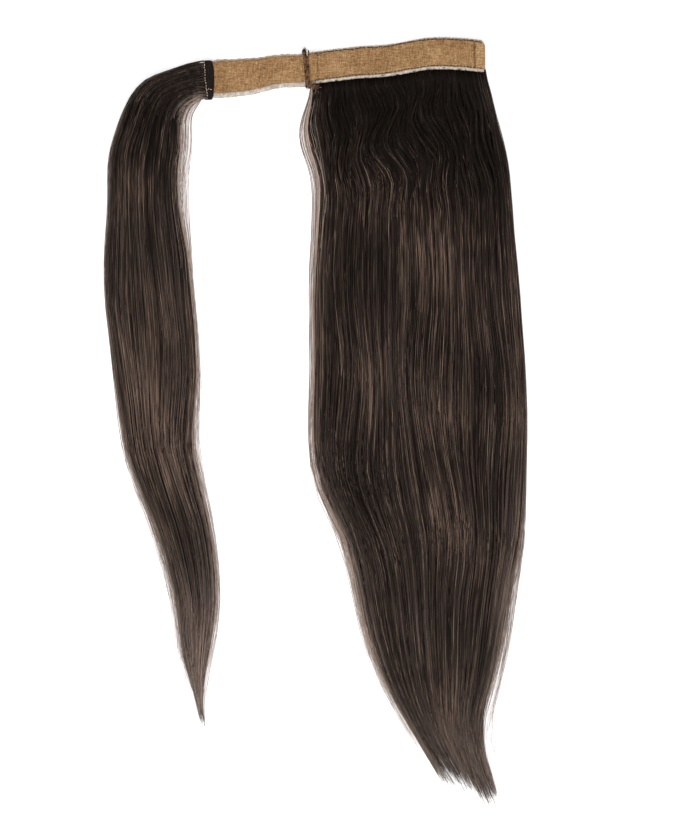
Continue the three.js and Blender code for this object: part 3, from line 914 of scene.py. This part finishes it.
# piece, hank, strands, points of each, places across, shares of the thickness, width
strand_piece("fall_under_strands", fall, 160, 22, ALL_OVER, NEAR_TABLE, THICK)
strand_piece("fall_inner_strands", fall, 520, 26, ALL_OVER, INSIDE, THICK)
strand_piece("fall_top_strands", fall, 900, 30, ALL_OVER, ON_TOP, FINE, spread=0.4)
strand_piece("fall_face_strands", fall, 900, 30, ALL_OVER, ON_FACE, FINE, spread=0.4)
strand_piece("fall_left_side", fall, 130, 28, (-1, -0.95), DOWN_THE_EDGE, FINE, rim_sheen=1.1)
strand_piece("fall_right_side", fall, 130, 28, (0.93, 1), DOWN_THE_EDGE, FINE)
strand_piece("lock_under_strands", lock, 80, 22, ALL_OVER, NEAR_TABLE, THICK)
strand_piece("lock_inner_strands", lock, 240, 28, ALL_OVER, INSIDE, THICK)
strand_piece("lock_top_strands", lock, 400, 30, ALL_OVER, ON_TOP, FINE, spread=0.4)
strand_piece("lock_face_strands", lock, 400, 30, ALL_OVER, ON_FACE, FINE, spread=0.4)
strand_piece("lock_left_side", lock, 70, 30, (-1, -0.9), DOWN_THE_EDGE, FINE)
strand_piece("lock_right_side", lock, 70, 30, (0.9, 1), DOWN_THE_EDGE, FINE, rim_sheen=0.5)

# %% [markdown]
# The fringes are the same strands, only thinner, paler and far apart. Their paleness is partly wear and
# partly painted sheen, as of strands lit against the white table. They are what keeps the outline of a
# hank from looking cut out. Some run in the fringe from the root. Others leave the hank part of the way
# down.

# %% Fringes
WISP = 0.3 * MM
HAIR = 0.22 * MM
LOW_HALF = (0.3, 0.85)

# piece, hank, strands, points of each, places across, width, shortest reach, then how they look and wander
for name, hank, count, points, across, width, least, looks in (
    ("fall_left_fringe", fall, 34, 36, (-2, -1), WISP, 0.75, {"wear": 2.6, "stray": 0.12}),
    ("fall_right_fringe", fall, 6, 32, (1, 2), WISP, 0.7, {"wear": 0.4}),
    ("lock_left_fringe", lock, 6, 32, (-2, -1), WISP, 0.7, {"wear": 0.5}),
    ("lock_right_fringe", lock, 30, 36, (1, 2), HAIR, 0.6, {"wear": 2.4, "stray": 0.26, "waves": 14}),
):
    strand_piece(name, hank, count, points, across, (0.05, 0.9), width, (least, 1.0), **looks)

# piece, hank, strands, places across, shortest reach, wear and painted sheen
for name, hank, count, across, least, wear in (
    ("fall_left_strays", fall, 100, (-2.3, -1.02), 0.8, 2.0),
    ("fall_right_strays", fall, 110, (1.02, 2.3), 0.8, 1.6),
    ("lock_left_strays", lock, 90, (-2.2, -1.02), 0.75, 1.4),
    ("lock_right_strays", lock, 90, (1.02, 2.2), 0.75, 1.4),
):
    strand_piece(name, hank, count, 30, across, (0.05, 0.8), HAIR, (least, 1.0), wear=wear, leaves=LOW_HALF)

# %% [markdown]
# A few pale strands lie over the rest. Short ones have worked loose where the hair leaves the sewing, at
# both corners of the base and in the inner bend of the lock. At the left corner and in the bend they are
# made very pale, a painted highlight.

# %% Loose strands on top
OVER = (1.0, 1.06)
strand_piece("fall_loose_strands", fall, 150, 32, (-0.97, 0.97), OVER, WISP, spread=0.22, wear=0.15)
strand_piece("lock_loose_strands", lock, 90, 34, (-0.97, 0.97), OVER, WISP, spread=0.22, wear=0.2)
strand_piece("base_left_wisps", fall, 26, 26, (-1.35, -0.9), OVER, WISP, (0.12, 0.4), wear=2.0, stray=0.03)
strand_piece("base_right_wisps", fall, 9, 20, (0.88, 1.2), OVER, WISP, (0.05, 0.12), wear=0.3, stray=0.03)
strand_piece("lock_bend_wisps", lock, 30, 30, (0.8, 1.6), OVER, WISP, (0.12, 0.4), wear=1.8, stray=0.08)

# %% [markdown]
# ## The tapes
#
# Hook-and-loop tape is woven, so its face is a grid of ribs with a short brushed pile. The ribs here are
# real ridges of the mesh, one row of points up and the next one down, because a ridge also shows in a low
# light, where a painted one doesn't. Each tape follows the edges, the top and the underside of its own
# solid.

# %% Edges of a tape
EDGE_PLACES = 50
EDGE_INSET = 0.3 * MM
TAPE_REACH = 0.03


def tape_form(node):
    """Places along x, with the lower and upper edge, top and underside of a tape's solid there."""
    low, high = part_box(node)
    places = np.linspace(low.x + EDGE_INSET, high.x - EDGE_INSET, EDGE_PLACES)
    middle_y = (low.y + high.y) / 2
    middles = np.stack([places, np.full(EDGE_PLACES, middle_y)], axis=-1)
    rows = measured_sections(node, middles, np.tile([0.0, 1.0], (EDGE_PLACES, 1)), TAPE_REACH)
    lower = middle_y + rows[:, 0]
    upper = middle_y + rows[:, 1]
    tree = ray_target(node)
    up = Vector((0, 0, 1))
    starts = [Vector((x, y, -RAY_HEIGHT)) for x, y in zip(places, (lower + upper) / 2)]
    hits = [tree.ray_cast(start, up)[0] for start in starts]
    return places, lower, upper, rows[:, 2], np.array([hit.z for hit in hits])


tapes = ("base_loop_tape", "base_hook_tape", "strap_loop_tape", "strap_hook_tape")
tape_forms = {node: tape_form(node) for node in tapes}
for node, (_, lower, upper, _, _) in tape_forms.items():
    print(f"{node}: {(upper - lower).mean() / MM:.1f} mm wide")


def tape_at(node, xs):
    """The edges, top and underside of a tape, smoothly, at many places."""
    places, *measures = tape_forms[node]
    return [np.interp(xs, places, softened(values, 3)) for values in measures]


# %% A woven tape
RIB = 0.42 * MM
RIBBED_WIDTH = 20 * MM
CORNER = 2.5 * MM
EDGE_ROUNDS = 14
EDGE_THICKNESS = 0.35
LEAST_THICKNESS = 0.1 * MM
BACK_SHARES = np.array([[0.02, 0.35, 0.65, 0.98]])
SEAM_REACH = 0.8 * MM


def woven_tape(name, node, finish, relief, edge_wander, rib=RIB, end_inset=0.0, hem=None):
    """A closed tape with a woven face, cut corners and a frayed edge, in place of its solid."""
    low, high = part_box(node)
    stations = int((high.x - low.x) / rib)
    xs = np.linspace(low.x, high.x - end_inset, stations)
    lower, upper, top, under = tape_at(node, xs)
    corner = np.clip((xs - (xs[-1] - CORNER)) / CORNER, 0, 1) ** 2
    upper = upper - 0.8 * CORNER * corner
    lower = lower + 0.3 * CORNER * corner
    ribs = int(RIBBED_WIDTH / rib)
    share = np.linspace(0, 1, ribs)[None, :]
    uneven = wander(2, np.linspace(0, 14, stations), 4, edge_wander)
    fray = dice.normal(0, edge_wander / 2, (2, stations))
    lower = lower + uneven[0] + fray[0]
    upper = upper + uneven[1] + fray[1]
    row = np.arange(ribs)[None, :]
    column = np.arange(stations)[:, None]
    weave = np.where((row + column // 2) % 2 == 0, 1.0, 0.0) + 0.6 * (column % 2)
    weave = weave * dice.uniform(0.5, 1.0, (stations, ribs))
    rounded = np.clip(np.minimum(share, 1 - share) * EDGE_ROUNDS, 0, 1) ** 0.5
    thickness = EDGE_THICKNESS + (1 - EDGE_THICKNESS) * rounded
    x = xs[:, None]
    y = lower[:, None] + (upper - lower)[:, None] * share
    z = under[:, None] + (top - under)[:, None] * thickness - relief * weave
    z = np.maximum(z, under[:, None] + LEAST_THICKNESS)
    face = np.stack([np.broadcast_to(x, y.shape), y, z], axis=-1)
    back_y = upper[:, None] + (lower - upper)[:, None] * BACK_SHARES
    back_z = np.broadcast_to(under[:, None], back_y.shape)
    back = np.stack([np.broadcast_to(x, back_y.shape), back_y, back_z], axis=-1)
    mesh = loft_mesh(name, np.concatenate([face, back], axis=1))
    if hem:
        weave = weave + 0.9 * np.exp(-(((x - hem) / SEAM_REACH) ** 2)) - 0.35 * (x > hem)
    add_values(mesh, "weave", np.concatenate([weave, np.zeros_like(back_y)], axis=1))
    return piece_from(name, mesh, finish, [node])


# %% [markdown]
# The tan of the loop tape is a sum of four noises and of the weave, which the mesh carries as the depth of
# each point, so the grooves are darker, a painted shade; the seam is darker too and the tape beyond it
# lighter. Two of the noises are drawn out, one along the tape and one across it, like its threads. The hook
# tape is clear plastic, which looks whitish, so a little light passes into it. Thread and fibres are too
# thin for more than a mottle.

# %% Tape and thread finishes
TAN_START = -0.14
ALONG_TAPE = (230, 2300, 100)
ACROSS_TAPE = (2300, 180, 100)


def loop_finish():
    """Tan loop tape, with a cross of fine threads and with worn and darker patches."""
    finish, shader, nodes, link = new_finish("tan_loop_tape", 0.85, 0.15)
    shader.inputs["Sheen Weight"].default_value = 0.25
    shader.inputs["Sheen Roughness"].default_value = 0.5
    shader.inputs["Sheen Tint"].default_value = (1, 0.85, 0.65, 1)
    weave = stored(nodes, "weave")
    grain = noise_nodes(nodes, link, 900, detail=2)
    rib = noise_nodes(nodes, link, 1, stretch=ALONG_TAPE, detail=2)
    crossing = noise_nodes(nodes, link, 1, stretch=ACROSS_TAPE, detail=2)
    patch = noise_nodes(nodes, link, 60, detail=3)
    # the weave's share is below 0, so the deeper grooves get painted shade
    mixed = TAN_START
    for source, share in ((grain, 0.5), (rib, 0.6), (crossing, 0.5), (patch, 0.25), (weave, -0.2)):
        mixed = math_node(nodes, link, "ADD", mixed, math_node(nodes, link, "MULTIPLY", source, share))
    colour = ramp_node(nodes, link, mixed, (
        (0.42, (0.13, 0.060, 0.022)),
        (0.62, (0.30, 0.160, 0.068)),
        (0.78, (0.43, 0.250, 0.112)),
        (0.94, (0.66, 0.450, 0.250)),
    ))
    link(colour, shader.inputs["Base Color"])
    bump = nodes.new("ShaderNodeBump")
    bump.inputs["Strength"].default_value = 0.35
    bump.inputs["Distance"].default_value = 0.2 * MM
    link(grain, bump.inputs["Height"])
    link(bump.outputs["Normal"], shader.inputs["Normal"])
    return finish


def hook_finish():
    """Clear hook tape, which looks whitish and a little dusty."""
    finish, shader, nodes, link = new_finish("clear_hook_tape", 0.45, 0.4)
    shader.inputs["Subsurface Weight"].default_value = 0.3
    shader.inputs["Subsurface Radius"].default_value = (0.002, 0.0015, 0.001)
    dust = noise_nodes(nodes, link, 500, detail=4)
    colour = ramp_node(nodes, link, dust, (
        (0.30, (0.36, 0.30, 0.245)),
        (0.50, (0.56, 0.49, 0.42)),
        (0.70, (0.74, 0.68, 0.61)),
    ))
    link(colour, shader.inputs["Base Color"])
    return finish


def thread_finish(name, dark, light, roughness=0.6, scale=1400):
    """Sewing thread or fibres, twisted fine enough to show as a mottle."""
    finish, shader, nodes, link = new_finish(name, roughness, 0.15)
    twist = noise_nodes(nodes, link, scale, detail=2)
    link(ramp_node(nodes, link, twist, ((0.35, dark), (0.65, light))), shader.inputs["Base Color"])
    return finish


tan_loop = loop_finish()
clear_hook = hook_finish()
# the wound thread is dark brown; the orange-brown light end of its mottle is painted highlight on the twist
wound_thread = thread_finish("wound_thread", (0.006, 0.0035, 0.0025), (0.230, 0.115, 0.050), scale=750)
dark_thread = thread_finish("dark_thread", (0.004, 0.003, 0.002), (0.030, 0.018, 0.011))
light_thread = thread_finish("light_thread", (0.50, 0.37, 0.23), (0.92, 0.78, 0.58))
tan_fibre = thread_finish("tan_fibre", (0.30, 0.17, 0.08), (0.60, 0.42, 0.26), 0.9)
black_weft = thread_finish("black_weft", (0.0025, 0.002, 0.0015), (0.018, 0.012, 0.009), 0.75, 1000)
tan_thread = thread_finish("tan_thread", (0.03, 0.017, 0.01), (0.30, 0.17, 0.09), scale=700)
brown_thread = thread_finish("brown_thread", (0.09, 0.045, 0.018), (0.2, 0.11, 0.05))
print("finishes:", *sorted(finish.name for finish in bpy.data.materials if finish.users == 0))

# %% The four tapes
HEM_SEAM = 54 * MM
LOOP_RELIEF = 0.13 * MM
HOOK_RELIEF = 0.05 * MM
HOOK_RIB = 2 * RIB
base_weave = woven_tape(
    "base_loop_weave", "base_loop_tape", tan_loop, LOOP_RELIEF, 0.08 * MM, end_inset=2 * MM,
    hem=HEM_SEAM,
)
strap_weave = woven_tape(
    "strap_loop_weave", "strap_loop_tape", tan_loop, LOOP_RELIEF, 0.1 * MM
)
woven_tape(
    "base_hook_sheet", "base_hook_tape", clear_hook, HOOK_RELIEF, 0.1 * MM, HOOK_RIB, 1 * MM
)
woven_tape(
    "strap_hook_sheet", "strap_hook_tape", clear_hook, HOOK_RELIEF, 0.12 * MM, HOOK_RIB
)

# %% [markdown]
# The two loop tapes are cloth, cut from a roll about 20 mm wide and laid flat on their hook tape. The
# sizes they were cut to are printed. The hook tape is a moulded plastic strip.

# %% The loop tapes as cut cloth
print("cut sizes, mm: base 20.5 x 123, strap 21 x 74.5")

# %% [markdown]
# A brushed tape is never clean at its edges. Short fibres stand off its face and stick out past its
# sides. They are tubes again, with three points each.

# %% Pile and frayed fibres
FIBRE_RADII = [0.07 * MM, 0.06 * MM, 0.03 * MM]


def pile(name, node, count, edge_share, length):
    """Short bent fibres on the face of a loop tape and along its edges."""
    low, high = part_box(node)
    x = dice.uniform(low.x + 1 * MM, high.x - 0.5 * MM, count)
    lower, upper, top, _ = tape_at(node, x)
    at_edge = dice.random(count) < edge_share
    across = np.where(at_edge, dice.integers(0, 2, count), dice.random(count))
    across = np.clip(across, 0.01, 0.99)
    y = lower + (upper - lower) * across
    past_edge = np.sign(across - 0.5) * dice.uniform(0.2, 1, count)
    outward = np.where(at_edge, past_edge, dice.uniform(-0.7, 0.7, count))
    start = np.stack([x, y, top - 0.2 * MM], axis=-1)
    lean = np.stack([dice.normal(0, 0.7, count), outward, np.where(at_edge, 0.1, 0.5)], axis=-1)
    size = length * dice.uniform(0.5, 1.2, count)[:, None]
    middle = start + lean * size * 0.6 + [0, 0, 0.12 * MM]
    bend = np.stack([dice.normal(0, 0.3, count), dice.normal(0, 0.3, count), np.full(count, -0.3)], axis=-1)
    end = start + lean * size + bend * size * 0.5
    paths = np.stack([start, middle, end], axis=1)
    paths[..., 2] = np.maximum(paths[..., 2], 0.1 * MM)
    mesh = tubes_mesh(name, paths, np.tile(FIBRE_RADII, (count, 1)))
    piece_from(name, mesh, tan_fibre)


pile("base_pile", "base_loop_tape", 1050, 0.3, 0.9 * MM)
pile("strap_pile", "strap_loop_tape", 700, 0.35, 1.0 * MM)

# %% [markdown]
# Hook tape has its hooks on the underside. They are moulded in rows, and they show where the strap stands
# clear of the table.

# %% Hooks
HOOK_PITCH = 1.3 * MM
HOOK_DROP = 0.7 * MM
HOOK_ROWS = np.linspace(0.06, 0.94, 16)
HOOK_CURL = np.array([(0, 0, 0.1), (0, 0.05, -0.45), (0, 0.25, -0.68), (0, 0.45, -0.5)]) * MM
HOOK_RADII = [0.1 * MM, 0.1 * MM, 0.1 * MM, 0.05 * MM]


def hooks():
    """Rows of small hooks under the strap, where it stands clear of the table."""
    low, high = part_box("strap_hook_tape")
    x, across = np.meshgrid(np.arange(low.x + 8 * MM, high.x - 4 * MM, HOOK_PITCH), HOOK_ROWS)
    x = x.ravel()
    lower, upper, _, under = tape_at("strap_hook_tape", x)
    y = lower + (upper - lower) * across.ravel()
    clear = under > HOOK_DROP + 0.1 * MM
    paths = np.stack([x, y, under], axis=-1)[clear][:, None] + HOOK_CURL
    radii = np.tile(HOOK_RADII, (len(paths), 1))
    mesh = tubes_mesh("strap_hooks", paths, radii, reference=(1, 0, 0))
    piece_from("strap_hooks", mesh, clear_hook)


hooks()

# %% [markdown]
# ## Stitches
#
# A row of machine stitches is a row of short threads that rise out of the cloth and go down again. One
# helper lays them along any line, so the rows differ only in thread, length and gap. They are laid as
# single tubes, because the gaps between them are what makes a seam look sewn.

# %% Stitch rows
STITCH_SHARES = np.array([0, 0.2, 0.5, 0.8, 1.0])
STITCH_RISE = np.array([-0.2, 0.08, 0.16, 0.08, -0.2]) * MM
STITCH_SWELL = [0.7, 1, 1, 1, 0.7]


def along_line(line, distance):
    """Points at distances along a line of points."""
    steps = np.linalg.norm(np.diff(line, axis=0), axis=1)
    reached = np.concatenate([[0], np.cumsum(steps)])
    return np.stack([np.interp(distance, reached, line[:, k]) for k in range(3)], axis=-1)


def stitches(name, line, finish, length, gap, radius, loose=0.15):
    """A row of stitches along a line, with its sizes in mm."""
    length, gap, radius, loose = (size * MM for size in (length, gap, radius, loose))
    total = np.linalg.norm(np.diff(line, axis=0), axis=1).sum()
    starts = np.arange(0.2 * MM, total - length, length + gap)
    count = len(starts)
    distance = starts[:, None] + STITCH_SHARES * length * dice.uniform(0.8, 1.1, (count, 1))
    paths = along_line(line, distance)
    paths[..., :2] += dice.normal(0, loose, (count, 1, 2)) + dice.normal(0, loose / 3, (count, 5, 2))
    paths[..., 2] += STITCH_RISE
    mesh = tubes_mesh(name, paths, radius * np.tile(STITCH_SWELL, (count, 1)), 6, reference=(0.1, 0.2, 1))
    piece_from(name, mesh, finish)


def line_on_tape(node, x_from, x_to, share, inset=0.0):
    """A line along a tape's face, at a share of its width and an inset from there."""
    xs = np.linspace(x_from, x_to, 120)
    lower, upper, top, _ = tape_at(node, xs)
    return np.stack([xs, lower + (upper - lower) * share + inset, top], axis=-1)


def line_over_tape(node, x_low, x_high):
    """A line across a tape's face, from its lower to its upper edge."""
    lower, upper, top, _ = tape_at(node, np.array([x_low, x_high]))
    ends = (x_low, lower[0] + 0.4 * MM), (x_high, upper[1] - 0.4 * MM)
    return np.linspace((*ends[0], top[0]), (*ends[1], top[1]), 60)


# %% Stitches on the base
JOINT_COLUMN = -56 * MM
base_low, base_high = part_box("base_loop_tape")
top_line = line_on_tape("base_loop_tape", base_low.x + 4.5 * MM, base_high.x - 3.5 * MM, 1, -0.5 * MM)
lower_line = line_on_tape("base_loop_tape", base_low.x + 5 * MM, base_high.x - 3.5 * MM, 0, 0.35 * MM)
joint_column = line_over_tape("base_loop_tape", JOINT_COLUMN + 0.8 * MM, JOINT_COLUMN)
hem_line = line_over_tape("base_loop_tape", HEM_SEAM + 0.4 * MM, HEM_SEAM)
weft_line = line_on_tape("base_hook_tape", base_low.x + 8 * MM, base_high.x - 9 * MM, 0, 0.5 * MM)

stitches("base_top_stitches", top_line, dark_thread, length=2.3, gap=0.5, radius=0.3, loose=0.14)
stitches("base_lower_stitches", lower_line, dark_thread, length=1.5, gap=0.8, radius=0.22)
stitches("joint_column_stitches", joint_column, wound_thread, length=0.9, gap=0.9, radius=0.26, loose=0.25)
stitches("hem_stitches", hem_line, brown_thread, length=1.6, gap=0.35, radius=0.2, loose=0.06)
stitches("weft_stitches", weft_line, dark_thread, length=1.8, gap=9, radius=0.16, loose=0.5)

# %% [markdown]
# ## The joint
#
# Strap and base are held together by heavy thread wound round both, a little askew. Cut ends of thread
# stand out above the joint and at its lower corner. Each turn is a tube on a rounded rectangle round the two
# tapes.

# %% Turns of thread
joint_low, joint_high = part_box("joint_thread")
TURNS = 7
THREAD_RADIUS = 0.46 * MM
TURN_POINTS = 44
TURNS_SPREAD = 1.35 * MM
TURNS_LEAN = -1.6
STRAND_BUMPS = 26


def rounded_power(value, power):
    """A power that keeps the sign. Below 1, on a sine and a cosine, it squares a circle off."""
    return np.sign(value) * np.abs(value) ** power


def joint_turns():
    """The turns of thread round the joint, which stand in for its ring."""
    around = np.linspace(0, 2 * math.pi, TURN_POINTS)[None, :] + dice.uniform(0, 1, (TURNS, 1))
    half_y = (joint_high.y - joint_low.y) / 2 - THREAD_RADIUS - dice.uniform(0, 0.6, (TURNS, 1)) * MM
    half_z = (joint_high.z - joint_low.z) / 2 - THREAD_RADIUS - dice.uniform(0, 0.5, (TURNS, 1)) * MM
    y = (joint_high.y + joint_low.y) / 2 + half_y * rounded_power(np.cos(around), 0.3)
    z = (joint_high.z + joint_low.z) / 2 + half_z * rounded_power(np.sin(around), 0.35)
    spread = np.linspace(-1, 1, TURNS)[:, None] * TURNS_SPREAD
    lean = TURNS_LEAN + dice.normal(0, 0.45, (TURNS, 1))
    slant = lean * MM * (y - joint_low.y - half_y) / half_y
    x = (joint_low.x + joint_high.x) / 2 + spread + slant + wander(TURNS, around[0] / 6, 3, 0.25 * MM)
    paths = np.stack([x, y, z], axis=-1)
    radii = THREAD_RADIUS * (1 + 0.24 * np.sin(around * STRAND_BUMPS) + dice.normal(0, 0.12, around.shape))
    mesh = tubes_mesh("joint_turns", paths, radii, 8, reference=(1, 0, 0))
    piece_from("joint_turns", mesh, wound_thread, ["joint_thread"])


joint_turns()

# %% Ends of thread at the joint
END_POINTS = 8
END_RADIUS = 0.18 * MM


def thread_ends(name, count, corner, heading, scatter, curl, finish):
    """The cut ends of thread that stand out of one corner of the joint, in mm from there."""
    start = np.array(corner) + dice.normal(0, 0.8, (count, 3)) * [MM, 0.2 * MM, 0.1 * MM]
    grown = np.linspace(0, 1, END_POINTS)[None, :, None]
    ahead = np.array(heading) + dice.normal(0, 1, (count, 3)) * scatter
    bend = dice.normal(0, curl, (count, 1, 3)) * grown**2
    paths = start[:, None] + (ahead[:, None] * grown + bend) * MM
    paths[..., 2] = np.maximum(paths[..., 2], 0.3 * MM)
    mesh = tubes_mesh(name, paths, np.full((count, END_POINTS), END_RADIUS), 5)
    piece_from(name, mesh, finish)


joint_x = (joint_low.x + joint_high.x) / 2
top_corner = (joint_x - 1.7 * MM, joint_high.y - 1.0 * MM, joint_high.z - 0.5 * MM)
thread_ends("joint_tuft", 22, top_corner, (-0.1, 1.0, 0), (0.8, 0.4, 0.3), 0.5, dark_thread)
low_corner = (joint_x + 2.0 * MM, joint_low.y + 1.2 * MM, joint_high.z - 1.2 * MM)
thread_ends("joint_tails", 18, low_corner, (4.0, -0.6, 0.2), (2.4, 1.6, 0.3), 2.2, tan_thread)

# %% [markdown]
# ## The cover of the lock's root
#
# A dark weft band is folded over the strap's end and the root of the lock, and sewn down with light
# thread. It is a loft of rounded sections, bulged in its middle and fine ridged, because it is itself
# made of hair sewn side by side. The hair of the lock comes out of the seam in small bunches and hides
# the band's left half, so the band is only seen to the right of the stitches.

# %% Cover
COVER_TOP_INSET = 2.0 * MM
COVER_LOW_INSET = 0.9 * MM
BAND_BULGE = 1.1 * MM
COVER_SECTIONS = 110
COVER_AROUND = 40
SEAM_DEPTH = 0.7 * MM
SEAM_WIDTH = 0.9 * MM
RIDGE_HEIGHT = 0.17 * MM
RIDGE_LENGTH = 0.85 * MM
RIDGE_SLANT = 900
cover_middle_x = (cover_low.x + cover_high.x) / 2


def seam_x(y):
    """Where the seam runs on the cover, a little aslant."""
    return np.interp(y, (cover_low.y, cover_high.y), (cover_low.x + 3.7 * MM, cover_low.x + 1.0 * MM))


def cover_y(share):
    """A place along the band, from -1 at its lower end to 1 at its upper end."""
    return np.interp(share, (-1, 1), (cover_low.y + COVER_LOW_INSET, cover_high.y - COVER_TOP_INSET))


def cover_top(x, y):
    """The height of the cover's face at a place."""
    end = np.interp(y, cover_y(np.array([-1, 1])), (-1, 1))
    height = cover_high.z * (1 - 0.35 * np.abs(end) ** 6)
    pulled = SEAM_DEPTH * np.exp(-(((x - seam_x(y)) / SEAM_WIDTH) ** 2))
    ridge = RIDGE_HEIGHT * np.sin(2 * math.pi * y / RIDGE_LENGTH + RIDGE_SLANT * x)
    return height - pulled + ridge


def lock_cover():
    """The folded band as a closed loft from end to end."""
    end = np.linspace(-1, 1, COVER_SECTIONS)[:, None]
    y = cover_y(end)
    around = np.linspace(0, 2 * math.pi, COVER_AROUND, endpoint=False)[None, :]
    uneven = wander(1, 6 * end.T, 4, 0.12 * MM).T
    half_x = (cover_high.x - cover_low.x) / 2 * (0.92 + 0.12 * (1 - end**2)) + uneven
    half_x = half_x * (1 - 0.35 * np.abs(end) ** 10)
    bulge = BAND_BULGE * np.clip(np.cos(around), 0, 1) * (1 - 0.5 * end**2)
    x = cover_middle_x + half_x * rounded_power(np.cos(around), 0.6) + bulge
    high = cover_top(x, y)
    z = high / 2 + high / 2 * 0.99 * rounded_power(np.sin(around), 0.5)
    rings = np.stack([x, np.broadcast_to(y, x.shape), z], axis=-1)
    mesh = loft_mesh("lock_cover_band", rings)
    piece_from("lock_cover_band", mesh, black_weft, ["lock_cover"])


lock_cover()

# %% Bunches at the cover
BUNCHES = 15
BUNCH_STRANDS = 27
BUNCH_POINTS = 12
BUNCH_RADIUS = 0.2 * MM
BRIDGE = 9 * MM


def root_bunches():
    """Short strands that run from the seam over the cover's edge and down into the lock."""
    count = BUNCHES * BUNCH_STRANDS
    middles = np.repeat(np.linspace(-1.0, 1.0, BUNCHES), BUNCH_STRANDS)[:, None]
    grown = np.linspace(0, 1, BUNCH_POINTS)[None, :]
    over = smoothstep(0, 0.22, grown)
    at = np.clip((grown - 0.15) / 0.85, 0, 1) * dice.uniform(0.035, 0.09, (count, 1))
    side = middles + dice.normal(0, 0.03, (count, 1)) * (0.6 + 1.4 * over)
    paths = in_lock(at, np.clip(side, -1.15, 1.1), 1.03)
    start_y = cover_y(-middles * 0.95)
    start_y = start_y + dice.normal(0, 0.25, (count, 1)) * MM
    paths[..., 1] += (start_y - paths[..., 1]) * (1 - smoothstep(0, 0.45, grown))
    paths[..., 0] += (seam_x(paths[..., 1]) + 0.3 * MM - paths[..., 0]) * (1 - over)
    on_cover = cover_top(paths[..., 0], paths[..., 1]) + dice.uniform(0.1, 0.5, (count, 1)) * MM
    down = smoothstep(0, BRIDGE, cover_low.x + 0.5 * MM - paths[..., 0])
    paths[..., 2] = on_cover * (1 - down) + paths[..., 2] * down
    radii = np.full((count, BUNCH_POINTS), BUNCH_RADIUS)
    mesh = tubes_mesh("cover_root_bunches", paths, radii, TUBE_SIDES, columns=True)
    # painted highlight: bunches towards the cover's ends get a lighter tone, and at its lower end, where
    # they curve down, paler strands
    tone = 0.3 + dice.normal(0, 0.21, (count, 1)) + dice.normal(0, 0.06, (count, BUNCH_POINTS))
    add_tube_values(mesh, "tone", tone + 0.1 * smoothstep(0.3, 1.0, np.abs(side)))
    wear = 0.9 * dice.random((count, 1)) ** 3 * smoothstep(0.5, 1.0, side)
    add_tube_values(mesh, "wear", wear)
    piece_from("cover_root_bunches", mesh, brown_hair)


root_bunches()

# %% Light thread on the cover
CROSS_Y = -21.7 * MM
seam_y = cover_y(np.linspace(0.99, -1.02, 60))
seam_line = np.stack([seam_x(seam_y) + wander(1, seam_y[None] * 90, 3, 0.12 * MM)[0], seam_y], axis=-1)
seam_heights = cover_top(seam_line[:, 0], seam_line[:, 1]) + 0.6 * MM
seam_line = np.concatenate([seam_line, seam_heights[:, None]], axis=1)
stitches("cover_stitches", seam_line, light_thread, length=1.25, gap=0.75, radius=0.25, loose=0.12)

cross_x = np.linspace(-0.6, 4.4, 12) * MM + seam_x(CROSS_Y)
cross_y = CROSS_Y + 0.25 * MM * np.sin(cross_x / (0.5 * MM))
cross_line = np.stack([cross_x, cross_y, cover_top(cross_x, cross_y) + 0.35 * MM], axis=-1)
stitches("cover_cross_stitch", cross_line, light_thread, length=1.3, gap=0.4, radius=0.2, loose=0.05)

# %% [markdown]
# ## The wefts
#
# Under the base the hair is sewn into wefts, cords of hair ends bound by thread. They show only from low
# down, so each is a plain tube, a little uneven in width as a bound cord is.

# %% Weft cords
WEFT_POINTS = 150
WEFT_RADIUS = 1.45 * MM
WEFT_OFFSETS = (3.5, 8.5, 13.5)


def weft_cords():
    """Bound cords side by side under the base, each with an uneven width."""
    x = np.linspace(fall_rows[1, 0] + 3 * MM, fall_rows[1, 1] - 3 * MM, WEFT_POINTS)
    edge = np.interp(x, *base_edge)
    z = np.full(WEFT_POINTS, WEFT_RADIUS + 0.05 * MM)
    paths = np.array([np.stack([x, edge + offset * MM, z], axis=-1) for offset in WEFT_OFFSETS])
    twist = np.sin(np.arange(WEFT_POINTS)[None, :] * 1.9)
    radii = WEFT_RADIUS * (1 + 0.07 * twist + dice.normal(0, 0.02, paths.shape[:2]))
    piece_from("fall_wefts", tubes_mesh("fall_wefts", paths, radii, 10), black_weft)


weft_cords()

# %% [markdown]
# ## Counting the pieces
#
# The pieces that render are counted, with the triangles of all of them.

# %% Pieces and triangles
pieces = [o for o in bpy.data.objects if o.type == "MESH" and not o.hide_render and o is not table]
total = sum(len(p.vertices) - 2 for o in pieces for p in o.data.polygons)
print("pieces", len(pieces), "triangles in all", total)
